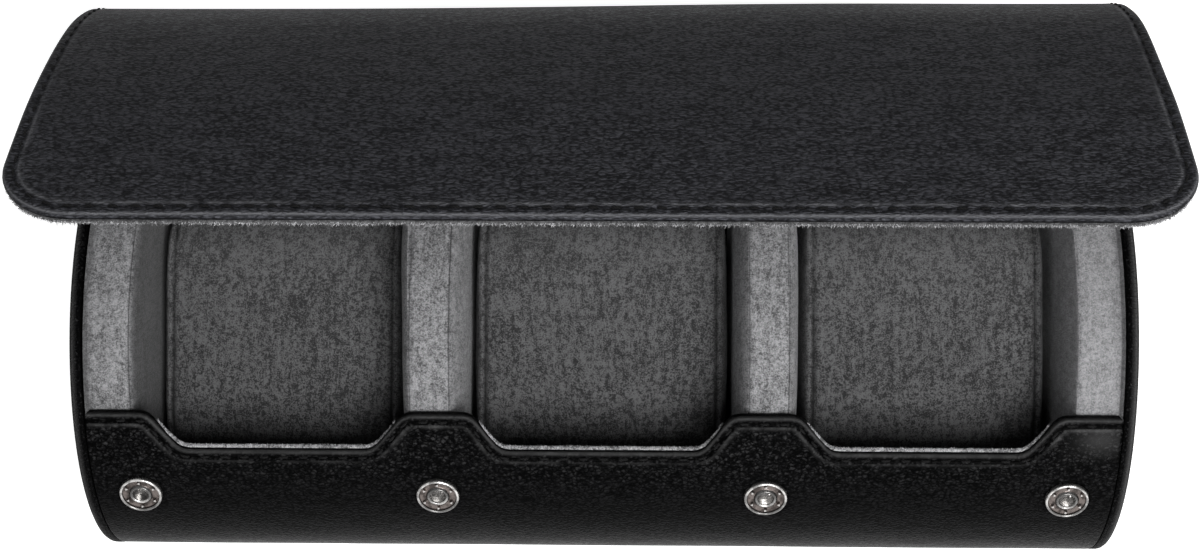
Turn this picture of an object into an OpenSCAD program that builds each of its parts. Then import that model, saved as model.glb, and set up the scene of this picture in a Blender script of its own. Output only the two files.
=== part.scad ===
// Travel roll for three watches: a stiff leather-covered cylinder with a flat base, an open
// upper front, three cushions between suede dividers and a long flap that wraps over the top.
// Frame: X along the roll, -Y to the front, Z up; the origin is the middle of the base.

/* [Case] */
// Length over the end caps, and width of the flap
case_length = 250; // [200:1:320]
// Outer radius of the round section
roll_radius = 53.5; // [48:0.5:62]
// Height of the roll's axis above its flat base
axis_height = 49.5; // [47:0.5:52]

/* [Wrap] */
// Thickness of the outer leather of the wrap
wrap_leather_t = 1.6; // [1:0.1:2]
// Thickness of the stiff board in the wrap
wrap_board_t = 1.4; // [1:0.1:2]
// Thickness of the suede lining of the wrap
wrap_lining_t = 0.8; // [0.5:0.1:1.2]
// Angle of the front wall's crests above the horizontal through the axis
crest_angle = 26.2; // [24:0.2:30]
// Angle of the front wall's dips above the horizontal through the axis
dip_angle = 15.7; // [14:0.2:18]
// Run along the roll of each slope between a crest and a dip
slope_run = 9; // [6:0.5:12]
// Width of the crest in front of each divider
crest_w = 15; // [12:0.5:18]
// Width of the crest beside each end cap
end_crest_w = 14; // [12:0.5:18]
// Angle below the back horizontal at which the wrap stops
back_edge_angle = 1.5; // [1.5:0.5:6]

/* [Ends] */
// Thickness of an end cap with its board
cap_t = 3; // [2.6:0.1:4]
// Thickness of an end cap's leather
cap_leather_t = 1.3; // [1:0.1:1.5]
// Thickness of an end pad at its middle
end_pad_t = 14.5; // [12:0.5:16]
// Width of an end pad's face at its rim
end_pad_face = 10; // [8:0.5:11]

/* [Compartments] */
// Distance of each divider's middle from the middle of the case
divider_x = 39.25; // [37:0.25:42]
// Thickness of a divider at its middle
divider_t = 16.5; // [14:0.5:18]
// Width of a divider's face at its rim
divider_face = 10; // [8:0.5:12]
// Depth over which dividers and end pads widen from rim to full thickness
rim_taper = 17; // [12:0.5:20]
// Thickness of the suede on dividers and cushions
suede_t = 0.8; // [0.6:0.1:1]
// Distance of the floor pads' face behind the axis
floor_depth = 23.3; // [21:0.1:26]

/* [Cushions] */
// Height of a cushion, across the opening
cushion_h = 66; // [60:1:68]
// Thickness of a cushion from its front to the floor pad
cushion_t = 46.5; // [42:0.5:48]
// Gap between a cushion and each neighbour beside it
cushion_gap = 1.5; // [1:0.1:2.5]
// Corner radius of a cushion
cushion_r = 15; // [10:0.5:18]

/* [Flap] */
// Thickness of the flap's leather
flap_leather_t = 1.2; // [1:0.1:1.5]
// Thickness of the flap's stiffener
flap_board_t = 0.9; // [0.9:0.1:1.2]
// Thickness of the flap's suede lining
flap_lining_t = 0.7; // [0.5:0.1:1]
// Length of flap beyond the snaps
flap_overhang = 10.5; // [9:0.5:14]
// Radius of the flap's two free corners
flap_corner_r = 17; // [8:0.5:18]
// Width of the turned leather edge around the flap's stiffener
turned_edge = 3.2; // [2.5:0.1:4]
// Gap between the closed flap and the roll at the back
flap_gap_back = 0.3; // [0.3:0.1:1]
// Gap between the closed flap and the front wall, where the snaps stand
flap_gap_front = 1.2; // [1.2:0.1:2]

/* [Snaps] */
// Outer diameter of a snap socket
socket_d = 10; // [9:0.5:11]
// Height of a socket above the leather
socket_rise = 1.3; // [1:0.1:1.3]
// Distance of the outer snaps from the ends of the case
outer_snap_inset = 14.1; // [14:0.1:20]

/* [Hidden] */
$fn = 96;
eps = 0.01;
cut_spare = 1; // length of a cut beyond what it cuts
seat_gap = 0.1; // between pieces glued to each other
soft_gap = 0.3; // between soft pieces that lie against each other
lining_inset = 0.4; // of the flap's lining from its leather's edge
hinge_roll_r = 1.9;
big = 400;

// opening direction of the roll: half way between front and up
opening_angle = 45;
cushion_centre = cushion_t / 2 - floor_depth + soft_gap;

board_r = roll_radius - wrap_leather_t;
lining_r = board_r - wrap_board_t;
inner_r = lining_r - wrap_lining_t;
fill_r = inner_r - soft_gap;
wrap_half = case_length / 2 - cap_t;
pad_start = wrap_half - seat_gap;
pad_end = pad_start - end_pad_t;

// the inner snaps stand in front of the dividers
outer_snap_x = case_length / 2 - outer_snap_inset;
snap_x = [-outer_snap_x, -divider_x, divider_x, outer_snap_x];
side_x = divider_x + divider_t / 2;
cells = [[-pad_end, -side_x], [-side_x + divider_t, side_x - divider_t], [side_x, pad_end]];

// the dips in the front edge: [low x, high x] at the bottom of each dip
dip_near = divider_x - crest_w / 2 - slope_run;
dip_from = divider_x + crest_w / 2 + slope_run;
dip_to = wrap_half - end_crest_w - slope_run;
dips = [[-dip_to, -dip_from], [-dip_near, dip_near], [dip_from, dip_to]];

// flap: flat facets that close round a circle that stands off further at the front
flap_t = flap_leather_t + flap_board_t + flap_lining_t;
// and from first_stiff on, stiff_facets of them are one stiff panel
facets = 9;
first_stiff = 2;
stiff_facets = 3;
last = facets - 1;
facet_groups = [
    for (i = [0:facets - stiff_facets])
        let (a = i > first_stiff ? i + stiff_facets - 1 : i)
            [a, i == first_stiff ? a + stiff_facets - 1 : a]
];
hinge_y = roll_radius + hinge_roll_r + seat_gap;
close_shift = (flap_gap_front - flap_gap_back) / 2;
close_r = roll_radius + (flap_gap_back + flap_gap_front) / 2;
hinge_reach = hinge_y + close_shift;
closed_lean = acos((close_r + flap_t / 2) / hinge_reach);
facet_bend = (180 - closed_lean) / last;
half_facet = (close_r + flap_t) * tan(facet_bend / 2);
first_facet = hinge_reach * sin(closed_lean) + half_facet;
last_facet = half_facet + flap_overhang;
facet_gap = 0.3;
// how far each facet of the open flap leans forward from upright
rest_lean = [-2, 6, 15, 15 + facet_bend, 15 + 2 * facet_bend, 69.5, 75.5, 83.5, 85.5];

function facet_len(i) = i == 0 ? first_facet : i == last ? last_facet : 2 * half_facet;
function along(i) = [-sin(rest_lean[i]), cos(rest_lean[i])];
function outward(i) = [cos(rest_lean[i]), sin(rest_lean[i])];
function facet_start(i) =
    i <= 0 ? [hinge_y, axis_height] + flap_t / 2 * outward(0)
           : facet_start(i - 1) + facet_len(i - 1) * along(i - 1);
// a point on facet i, s along it and d below its outer face
function on_facet(i, s, d) = facet_start(i) + s * along(i) - d * outward(i);
function mitre(d) = d * tan(facet_bend / 2);
function start_cut(i, first, d, slack) =
    i == 0 ? hinge_roll_r + soft_gap - slack
           : mitre(d) + (i == first ? facet_gap / 2 - slack : 0);
function end_cut(i, final, d, slack) = mitre(d) + (i == final ? facet_gap / 2 - slack : 0);
function facet_end(i, final, d, slack) =
    i == last ? last_facet + slack : facet_len(i) - end_cut(i, final, d, slack);
// the points of facets g[0] to g[1] at depth d, drawn out by slack at both ends
function layer_line(g, d, slack) = [
    for (i = [g[0]:g[1]])
        for (s = [start_cut(i, g[0], d, slack), facet_end(i, g[1], d, slack)]) on_facet(i, s, d)
];
function backwards(v) = [for (i = [len(v) - 1:-1:0]) v[i]];

leather_colour = [0.09, 0.09, 0.1];
board_colour = [0.45, 0.4, 0.34];
suede_colour = [0.45, 0.45, 0.47];
dark_suede_colour = [0.27, 0.27, 0.29];
nickel_colour = [0.8, 0.8, 0.8];

// extrudes a section drawn in Y and Z along X
module along_x(x0, x1) {
    translate([x0, 0, 0]) rotate([90, 0, 90]) linear_extrude(x1 - x0) children();
}

// the roll's round section with its flat base, drawn in by inset
module section(inset) {
    intersection() {
        translate([0, axis_height]) circle(roll_radius - inset);
        translate([-big / 2, inset]) square(big);
    }
}

// turns a child about the roll's axis so that its +X points along an angle above the front
module at_angle(angle) {
    translate([0, 0, axis_height]) rotate([-angle, 0, 0]) rotate([0, 0, -90]) children();
}

// the part of the section that the wrap covers, up to its crests
module wrap_reach() {
    difference() {
        children();
        translate([0, axis_height]) polygon([
            [0, 0],
            big * [-cos(crest_angle), sin(crest_angle)],
            big * [-cos(crest_angle), 1],
            big * [1, 1],
            big * [cos(back_edge_angle), -sin(back_edge_angle)]
        ]);
    }
}

// one dip, cut straight in through the front wall
module dip(x_low, x_high) {
    middle = (crest_angle + dip_angle) / 2;
    half = roll_radius * sin((crest_angle - dip_angle) / 2);
    over = slope_run * (1 + cut_spare / (2 * half));
    at_angle(middle) rotate([90, 0, 90]) linear_extrude(roll_radius + cut_spare)
        polygon([
            [x_low, -half], [x_high, -half],
            [x_high + over, half + cut_spare], [x_low - over, half + cut_spare]
        ]);
}

module wrap_layer(outer, inner) {
    difference() {
        along_x(-wrap_half, wrap_half) wrap_reach() difference() {
            section(outer);
            section(inner);
        }
        for (d = dips) dip(d[0], d[1]);
    }
}

// a shape turned about each snap's axis: radius across, height outward from the leather
module at_snaps() {
    for (x = snap_x)
        translate([x, -roll_radius, axis_height]) rotate([90, 0, 0]) children();
}

module snap_hole(r, from, to) {
    at_snaps() translate([0, 0, from]) cylinder(r = r, h = to - from);
}

/* wrap */
socket_sink = 1.2;
rivet_r = 1.5;
rivet_hole_r = rivet_r + seat_gap;
rivet_head_r = 4;
rivet_head_t = 0.5;
rivet_head_in = roll_radius - lining_r;

module wrap_leather() color(leather_colour) difference() {
    wrap_layer(0, wrap_leather_t);
    snap_hole(socket_d / 2 + seat_gap / 2, -socket_sink, cut_spare);
    snap_hole(rivet_hole_r, -wrap_leather_t - cut_spare, 0);
}

module wrap_board() color(board_colour) difference() {
    wrap_layer(wrap_leather_t, wrap_leather_t + wrap_board_t);
    snap_hole(rivet_hole_r, -rivet_head_in - cut_spare, 0);
    snap_hole(rivet_head_r + seat_gap, -rivet_head_in - cut_spare, rivet_head_t - rivet_head_in);
}

module wrap_lining() color(dark_suede_colour)
    wrap_layer(wrap_leather_t + wrap_board_t, roll_radius - inner_r);

module hinge_roll() color(leather_colour)
    translate([-wrap_half, hinge_y, axis_height]) rotate([0, 90, 0])
        cylinder(r = hinge_roll_r, h = 2 * wrap_half);

/* ends */
module end_cap() color(leather_colour) difference() {
    along_x(wrap_half, case_length / 2) section(0);
    along_x(wrap_half - eps, case_length / 2 - cap_leather_t) section(cap_leather_t);
}

module end_board() color(board_colour)
    along_x(wrap_half + seat_gap, case_length / 2 - cap_leather_t - seat_gap)
        section(cap_leather_t + seat_gap);

// a disc whose side faces slope towards its rim, about the roll's axis, with the flat base
module rimmed_disc(profile) {
    intersection() {
        translate([0, 0, axis_height]) rotate([0, 90, 0]) rotate_extrude() polygon(profile);
        translate([-big / 2, -big / 2, roll_radius - inner_r + soft_gap]) cube(big);
    }
}

module end_pad() color(suede_colour) rimmed_disc([
    [0, pad_end], [fill_r - rim_taper, pad_end], [fill_r, pad_start - end_pad_face],
    [fill_r, pad_start], [0, pad_start]
]);

/* dividers */
module divider_body(inset) translate([divider_x, 0, 0]) rimmed_disc([
    [0, inset - divider_t / 2], [fill_r - rim_taper, inset - divider_t / 2],
    [fill_r - inset, inset - divider_face / 2], [fill_r - inset, divider_face / 2 - inset],
    [fill_r - rim_taper, divider_t / 2 - inset], [0, divider_t / 2 - inset]
]);

module divider_core_body(inset) intersection() {
    divider_body(inset);
    translate([-big / 2, -big / 2, roll_radius - inner_r + soft_gap + inset]) cube(big);
}

module divider() color(suede_colour) difference() {
    divider_body(0);
    divider_core_body(suede_t);
}

module divider_core() color(board_colour) divider_core_body(suede_t + seat_gap);

/* floor pads and cushions, drawn facing the opening */
module floor_pad(cell) color(dark_suede_colour) intersection() {
    along_x(cell[0] + soft_gap, cell[1] - soft_gap) intersection() {
        translate([0, axis_height]) circle(fill_r);
        translate([-big / 2, roll_radius - inner_r + soft_gap]) square(big);
        translate([0, axis_height]) rotate(-opening_angle)
            translate([floor_depth, -big / 2]) square(big);
    }
}

module rounded(w, h, r) {
    square([w - 2 * r, h], center = true);
    square([w, h - 2 * r], center = true);
    for (x = [-1, 1], y = [-1, 1]) translate([x * (w / 2 - r), y * (h / 2 - r)]) circle(r);
}

module cushion_body(cell, inset) {
    w = cell[1] - cell[0] - 2 * (cushion_gap + inset);
    h = cushion_h - 2 * inset;
    t = cushion_t - 2 * inset;
    r = cushion_r - inset;
    at_angle(opening_angle) translate([cushion_centre, (cell[0] + cell[1]) / 2, 0])
        intersection() {
            rotate([90, 0, 0]) linear_extrude(w, center = true) rounded(t, h, r);
            rotate([90, 0, 90]) linear_extrude(t, center = true) rounded(w, h, r / 2);
        }
}

module cushion(cell) color(dark_suede_colour) difference() {
    cushion_body(cell, 0);
    cushion_body(cell, suede_t);
}

module cushion_core(cell) color(board_colour) cushion_body(cell, suede_t + seat_gap);

/* snaps */
rim_w = 1;
ring_out = 2.9;
mouth_r = 1.9;
chamber_r = 2.6;
plate_t = 0.3;
flare_w = 0.4;
flare_t = 0.15;
spring_r = 0.25;
spring_x = 1.2;
spring_h = 0.65;
chamber_floor = plate_t - socket_sink;

module snap_sockets() color(nickel_colour) at_snaps() rotate_extrude() polygon([
    [rivet_hole_r, -socket_sink], [socket_d / 2, -socket_sink],
    [socket_d / 2, socket_rise - rim_w / 3], [socket_d / 2 - rim_w / 3, socket_rise],
    [socket_d / 2 - 2 * rim_w / 3, socket_rise], [socket_d / 2 - rim_w, socket_rise - rim_w / 3],
    [socket_d / 2 - rim_w, socket_rise / 2], [ring_out, socket_rise / 2],
    [ring_out, socket_rise - plate_t], [ring_out - plate_t, socket_rise],
    [mouth_r, socket_rise], [mouth_r, socket_rise - plate_t],
    [chamber_r, socket_rise - plate_t], [chamber_r, chamber_floor],
    [rivet_hole_r, chamber_floor]
]);

module snap_springs() color(nickel_colour) at_snaps() {
    half = sqrt(pow(chamber_r, 2) - pow(spring_x + spring_r, 2)) - seat_gap / 2;
    for (x = [-spring_x, spring_x])
        translate([x, -half, spring_h]) rotate([-90, 0, 0]) cylinder(r = spring_r, h = 2 * half);
}

module snap_rivets() color(nickel_colour) at_snaps() rotate_extrude() polygon([
    [0, -rivet_head_in], [rivet_head_r, -rivet_head_in],
    [rivet_head_r, rivet_head_t - rivet_head_in - seat_gap],
    [rivet_r, rivet_head_t - rivet_head_in - seat_gap],
    [rivet_r, chamber_floor], [rivet_r + flare_w, chamber_floor],
    [rivet_r + flare_w, chamber_floor + flare_t], [0, chamber_floor + flare_t]
]);

// studs stand on the last facet's board; their heights run inward from it
stud_flange_r = 3.6;
stud_flange_t = 0.4;
stud_neck_r = 0.85;
stud_lip_r = 1.25;
stud_lip_t = 0.6;
stud_lip_edge = 0.2;
stud_pin_r = 0.45;
wall_reach = flap_gap_front + flap_lining_t;
stud_tip = wall_reach + stud_lip_t / 2;
stud_pin_reach = wall_reach - stud_lip_t / 2;
cap_head_r = 4;
cap_head_t = 0.35;
stud_pocket_r = socket_d / 2 + soft_gap;

module at_studs() {
    p = on_facet(last, half_facet, flap_leather_t + flap_board_t);
    for (x = snap_x) translate([x, p[0], p[1]]) rotate([rest_lean[last] + 90, 0, 0]) children();
}

module snap_studs() color(nickel_colour) at_studs() rotate_extrude() polygon([
    [stud_pin_r + seat_gap / 2, 0], [stud_flange_r, 0], [stud_flange_r, stud_flange_t],
    [stud_neck_r, stud_flange_t], [stud_neck_r, stud_tip - stud_lip_t],
    [stud_lip_r, stud_tip - stud_lip_t + stud_lip_edge], [stud_lip_r, stud_tip - stud_lip_edge],
    [stud_lip_r - stud_lip_edge, stud_tip], [0, stud_tip],
    [0, stud_pin_reach], [stud_pin_r + seat_gap / 2, stud_pin_reach]
]);

module snap_stud_caps() color(nickel_colour) at_studs() translate([0, 0, -flap_board_t]) {
    cylinder(r = cap_head_r, h = cap_head_t);
    cylinder(r = stud_pin_r, h = flap_board_t + stud_pin_reach - seat_gap);
}

/* flap */
module flap_slab(g, top, bottom, inset, slack) {
    half = case_length / 2 - inset;
    along_x(-half, half)
        polygon(concat(layer_line(g, top, slack), backwards(layer_line(g, bottom, slack))));
}

// the flap's free outline, as a prism through its last facet
module free_end(inset) {
    half = case_length / 2 - inset;
    reach = last_facet - inset;
    r = flap_corner_r - inset;
    p = on_facet(last, 0, flap_t);
    translate([0, p[0], p[1]]) rotate([rest_lean[last] + 90, 0, 0])
        linear_extrude(big / 4, center = true) {
            translate([-half, -big / 8]) square([2 * half, big / 8 + reach - r]);
            translate([r - half, -big / 8]) square([2 * (half - r), big / 8 + reach]);
            for (x = [-1, 1]) translate([x * (half - r), reach - r]) circle(r);
        }
}

module flap_layer(g, top, bottom, inset, slack) {
    if (g[1] == last)
        intersection() {
            flap_slab(g, top, bottom, inset, slack);
            free_end(inset);
        }
    else
        flap_slab(g, top, bottom, inset, slack);
}

// the leather is turned round the stiffener at the free edges
module flap_leather(k) color(leather_colour) difference() {
    flap_layer(facet_groups[k - 1], 0, flap_leather_t + flap_board_t, 0, 0);
    flap_layer(
        facet_groups[k - 1], flap_leather_t, flap_leather_t + flap_board_t + cut_spare,
        turned_edge, cut_spare
    );
}

module flap_board(k) color(board_colour) difference() {
    flap_layer(
        facet_groups[k - 1], flap_leather_t, flap_leather_t + flap_board_t,
        turned_edge + seat_gap, 0
    );
    if (facet_groups[k - 1][1] == last)
        at_studs() translate([0, 0, -flap_board_t]) {
            translate([0, 0, -cut_spare])
                cylinder(r = cap_head_r + seat_gap, h = cut_spare + cap_head_t);
            cylinder(r = stud_pin_r + seat_gap / 2, h = flap_board_t + cut_spare);
        }
}

module flap_lining(k) color(suede_colour) difference() {
    flap_layer(facet_groups[k - 1], flap_leather_t + flap_board_t, flap_t, lining_inset, 0);
    if (facet_groups[k - 1][1] == last)
        at_studs() translate([0, 0, -cut_spare])
            cylinder(r = stud_pocket_r, h = flap_lining_t + 2 * cut_spare);
}

wrap_leather();
wrap_board();
wrap_lining();
hinge_roll();
mirror([1, 0, 0]) end_cap();  // end_cap_left
end_cap();  // end_cap_right
mirror([1, 0, 0]) end_board();  // end_board_left
end_board();  // end_board_right
mirror([1, 0, 0]) end_pad();  // end_pad_left
end_pad();  // end_pad_right
mirror([1, 0, 0]) divider();  // divider_left
divider();  // divider_right
mirror([1, 0, 0]) divider_core();  // divider_core_left
divider_core();  // divider_core_right
floor_pad(cells[0]);  // floor_pad_left
floor_pad(cells[1]);  // floor_pad_middle
floor_pad(cells[2]);  // floor_pad_right
cushion(cells[0]);  // cushion_left
cushion(cells[1]);  // cushion_middle
cushion(cells[2]);  // cushion_right
cushion_core(cells[0]);  // cushion_core_left
cushion_core(cells[1]);  // cushion_core_middle
cushion_core(cells[2]);  // cushion_core_right
snap_sockets();
snap_springs();
snap_rivets();
snap_studs();
snap_stud_caps();
flap_leather(1);  // flap_leather_1
flap_leather(2);  // flap_leather_2
flap_leather(3);  // flap_leather_3
flap_leather(4);  // flap_leather_4
flap_leather(5);  // flap_leather_5
flap_leather(6);  // flap_leather_6
flap_leather(7);  // flap_leather_7
flap_board(1);  // flap_board_1
flap_board(2);  // flap_board_2
flap_board(3);  // flap_board_3
flap_board(4);  // flap_board_4
flap_board(5);  // flap_board_5
flap_board(6);  // flap_board_6
flap_board(7);  // flap_board_7
flap_lining(1);  // flap_lining_1
flap_lining(2);  // flap_lining_2
flap_lining(3);  // flap_lining_3
flap_lining(4);  // flap_lining_4
flap_lining(5);  // flap_lining_5
flap_lining(6);  // flap_lining_6
flap_lining(7);  // flap_lining_7
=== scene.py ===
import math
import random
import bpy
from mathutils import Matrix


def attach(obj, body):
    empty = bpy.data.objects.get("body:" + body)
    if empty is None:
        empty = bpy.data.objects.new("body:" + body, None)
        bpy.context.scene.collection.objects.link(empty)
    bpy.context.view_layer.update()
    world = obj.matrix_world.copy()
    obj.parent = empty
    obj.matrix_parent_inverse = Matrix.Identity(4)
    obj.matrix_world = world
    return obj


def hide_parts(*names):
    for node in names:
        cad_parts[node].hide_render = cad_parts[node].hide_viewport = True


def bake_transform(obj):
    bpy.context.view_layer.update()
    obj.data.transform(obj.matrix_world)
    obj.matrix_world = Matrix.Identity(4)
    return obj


bl_info = {
    "name": "Watch Roll Finish",
    "version": (1, 0, 0),
    "blender": (4, 5, 0),
    "location": "3D View > Sidebar > Watch Roll",
    "description": "Dresses the frame of a travel roll for watches in leather, suede and nickel",
    "category": "Object",
}

from bisect import bisect_right

import bmesh
import bpy
from bpy.props import FloatProperty, FloatVectorProperty, IntProperty, PointerProperty
from mathutils import Euler, Matrix, Vector, noise

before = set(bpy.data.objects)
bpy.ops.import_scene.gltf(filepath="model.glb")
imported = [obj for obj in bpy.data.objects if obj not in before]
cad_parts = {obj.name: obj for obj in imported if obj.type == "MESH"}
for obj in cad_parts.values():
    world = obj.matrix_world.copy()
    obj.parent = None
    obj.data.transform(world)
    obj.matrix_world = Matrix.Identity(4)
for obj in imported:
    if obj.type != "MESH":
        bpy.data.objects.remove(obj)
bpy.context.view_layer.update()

MM = 0.001

# The sizes of the case, in millimetres and degrees, as the frame has them
CASE_LENGTH = 250.0
ROLL_R = 53.5
AXIS_Z = 49.5
LEATHER_T = 1.6
BOARD_T = 1.4
LINING_T = 0.8
CREST_ANGLE = 26.2
DIP_ANGLE = 15.7
BACK_EDGE_ANGLE = 1.5
CAP_T = 3.0
END_PAD_T = 14.5
END_PAD_FACE = 10.0
DIVIDER_X = 39.25
DIVIDER_T = 16.5
RIM_TAPER = 17.0
FLOOR_DEPTH = 23.3
CUSHION_H = 66.0
CUSHION_T = 46.5
FLAP_LEATHER_T = 1.2
FLAP_BOARD_T = 0.9
FLAP_LINING_T = 0.7
FLAP_OVERHANG = 10.5
FLAP_CORNER_R = 17.0
FLAP_GAP_BACK = 0.3
FLAP_GAP_FRONT = 1.2
HINGE_ROLL_R = 1.9
SOCKET_D = 10.0
SOCKET_RISE = 1.3
OUTER_SNAP_X = CASE_LENGTH / 2 - 14.1
SEAT_GAP = 0.1
SOFT_GAP = 0.3
OPENING_ANGLE = 45.0

INNER_R = ROLL_R - LEATHER_T - BOARD_T - LINING_T
FILL_R = INNER_R - SOFT_GAP
BASE_FILL = ROLL_R - INNER_R + SOFT_GAP
WRAP_HALF = CASE_LENGTH / 2 - CAP_T
PAD_START = WRAP_HALF - SEAT_GAP
PAD_END = PAD_START - END_PAD_T
SIDE_X = DIVIDER_X + DIVIDER_T / 2
CELLS = {
    "left": (-PAD_END, -SIDE_X),
    "middle": (-SIDE_X + DIVIDER_T, SIDE_X - DIVIDER_T),
    "right": (SIDE_X, PAD_END),
}
SNAP_X = (-OUTER_SNAP_X, -DIVIDER_X, DIVIDER_X, OUTER_SNAP_X)
CUSHION_MIDDLE = CUSHION_T / 2 - FLOOR_DEPTH + SOFT_GAP
OPENING_SHARE = math.sqrt(0.5)  # of a step along the opening's axis, in Y and in Z
ENDS = ((-1, "left"), (1, "right"))


# ---------------------------------------------------------------- settings


def colour_setting(label, text, colour):
    return FloatVectorProperty(
        name=label, description=text, subtype="COLOR", size=3, min=0, max=1, default=colour
    )


def length_setting(label, text, value, low, high):
    return FloatProperty(
        name=label, description=text, subtype="DISTANCE", unit="LENGTH", default=value, min=low,
        max=high, precision=5,
    )


class ROLL_leather(bpy.types.PropertyGroup):
    flap_colour: colour_setting(
        "Flap colour", "Colour of the flap's leather", (0.0150, 0.0153, 0.0176)
    )
    wall_colour: colour_setting(
        "Wall colour", "Colour of the body's leather", (0.0013, 0.0013, 0.0014)
    )
    grain: length_setting("Grain", "Size of one pebble of the grain", 0.00085, 0.0003, 0.003)
    grain_depth: length_setting("Grain depth", "Height of the grain's pebbles", 0.00024, 0, 0.001)


class ROLL_stitching(bpy.types.PropertyGroup):
    pitch: length_setting("Pitch", "Distance from one stitch to the next", 0.0047, 0.001, 0.006)
    thread: length_setting("Thread", "Thickness of the thread", 0.0006, 0.0002, 0.001)
    inset: length_setting(
        "Inset", "Distance of the flap's stitches from its edge", 0.0025, 0.001, 0.006
    )
    wall_inset: length_setting(
        "Wall inset", "Distance of the wall's stitches from its edge", 0.0014, 0.001, 0.006
    )


class ROLL_suede(bpy.types.PropertyGroup):
    light_colour: colour_setting(
        "Light suede", "Colour of the dividers and of the flap's lining", (0.142, 0.142, 0.146)
    )
    dark_colour: colour_setting(
        "Dark suede", "Colour of the cushions and of the body's lining", (0.050, 0.050, 0.051)
    )
    fuzz: length_setting("Fuzz", "Length of the loose fibres at a cut edge", 0.0008, 0, 0.003)


class ROLL_cushions(bpy.types.PropertyGroup):
    pressure: FloatProperty(
        name="Pressure", description="Pressure that fills a cushion's cover", default=4.0,
        min=0.5, max=12,
    )
    frames: IntProperty(
        name="Frames", description="Steps for which a cover is left to settle", default=20,
        min=4, max=40,
    )
    swell: length_setting(
        "Swell", "Furthest that a point of a cover may move", 0.003, 0.0005, 0.006
    )


class ROLL_metal(bpy.types.PropertyGroup):
    colour: colour_setting("Nickel", "Colour of the snaps", (0.46, 0.45, 0.44))
    roughness: FloatProperty(
        name="Roughness", description="Roughness of the polished snaps", default=0.22,
        min=0.05, max=0.6,
    )


# ---------------------------------------------------------------- materials


class Value:
    """A socket that adds Math nodes when it is used in a sum."""

    def __init__(self, paint, socket):
        self.paint = paint
        self.socket = socket

    def _math(self, operation, first, second, **settings):
        return self.paint.node(
            "ShaderNodeMath", {"operation": operation, **settings}, {0: first, 1: second}
        )

    def __add__(self, other):
        return self._math("ADD", self, other)

    def __radd__(self, other):
        return self._math("ADD", self, other)

    def __mul__(self, other):
        return self._math("MULTIPLY", self, other)

    def __sub__(self, other):
        return self._math("SUBTRACT", self, other)

    def __rsub__(self, other):
        return self._math("SUBTRACT", other, self)

    def greater(self, other):
        return self._math("MAXIMUM", self, other)

    def clamp(self):
        return self._math("ADD", self, 0.0, use_clamp=True)

    def over(self, low, high):
        """0 below low, 1 above high, and smooth between them."""
        return self.paint.node(
            "ShaderNodeMapRange", {"interpolation_type": "SMOOTHSTEP"},
            {"Value": self, "From Min": low, "From Max": high}, "Result",
        )


class Paint:
    """The nodes of one material, or of the world."""

    def __init__(self, owner):
        owner.use_nodes = True
        self.tree = owner.node_tree
        self.shader = self.tree.nodes.get("Principled BSDF") or self.tree.nodes["Background"]

    def node(self, kind, settings=None, inputs=None, output=0):
        made = self.tree.nodes.new(kind)
        for key, value in (settings or {}).items():
            setattr(made, key, value)
        for key, value in (inputs or {}).items():
            self.put(made.inputs[key], value)
        return Value(self, made.outputs[output])

    def put(self, socket, value):
        if isinstance(value, Value):
            self.tree.links.new(value.socket, socket)
        elif socket.type == "RGBA":
            socket.default_value = (*value, 1.0)
        else:
            socket.default_value = value

    def set(self, **values):
        for key, value in values.items():
            self.put(self.shader.inputs[key.replace("_", " ")], value)

    def place(self, kind="Object"):
        return self.node("ShaderNodeTexCoord", output=kind)

    def stretched(self, place, scale):
        return self.node("ShaderNodeMapping", {}, {"Vector": place, "Scale": scale})

    def noise(self, place, scale, detail=2.0, roughness=0.5):
        return self.node(
            "ShaderNodeTexNoise", {},
            {"Vector": place, "Scale": scale, "Detail": detail, "Roughness": roughness},
        )

    def cells(self, place, scale, feature="F1"):
        return self.node(
            "ShaderNodeTexVoronoi", {"feature": feature}, {"Vector": place, "Scale": scale},
            "Distance",
        )

    def mixed(self, factor, first, second):
        return self.node(
            "ShaderNodeMix", {"data_type": "RGBA", "blend_type": "MIX"},
            {0: factor, 6: first, 7: second}, 2,
        )

    def painted_shading_share(self, sign):
        """How far a place is painted lighter, as a painted highlight, for 1, or painted darker, as
        painted shade, for -1.
        """
        rub = self.node("ShaderNodeAttribute", {"attribute_name": "rub"}, output="Fac")
        return (rub * sign).clamp()

    def bump(self, height, distance, strength=1.0):
        self.set(Normal=self.node(
            "ShaderNodeBump", {}, {"Height": height, "Distance": distance, "Strength": strength}
        ))


def toned(colour, factor, lift=0.0):
    return tuple(c * factor + lift for c in colour)


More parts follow.
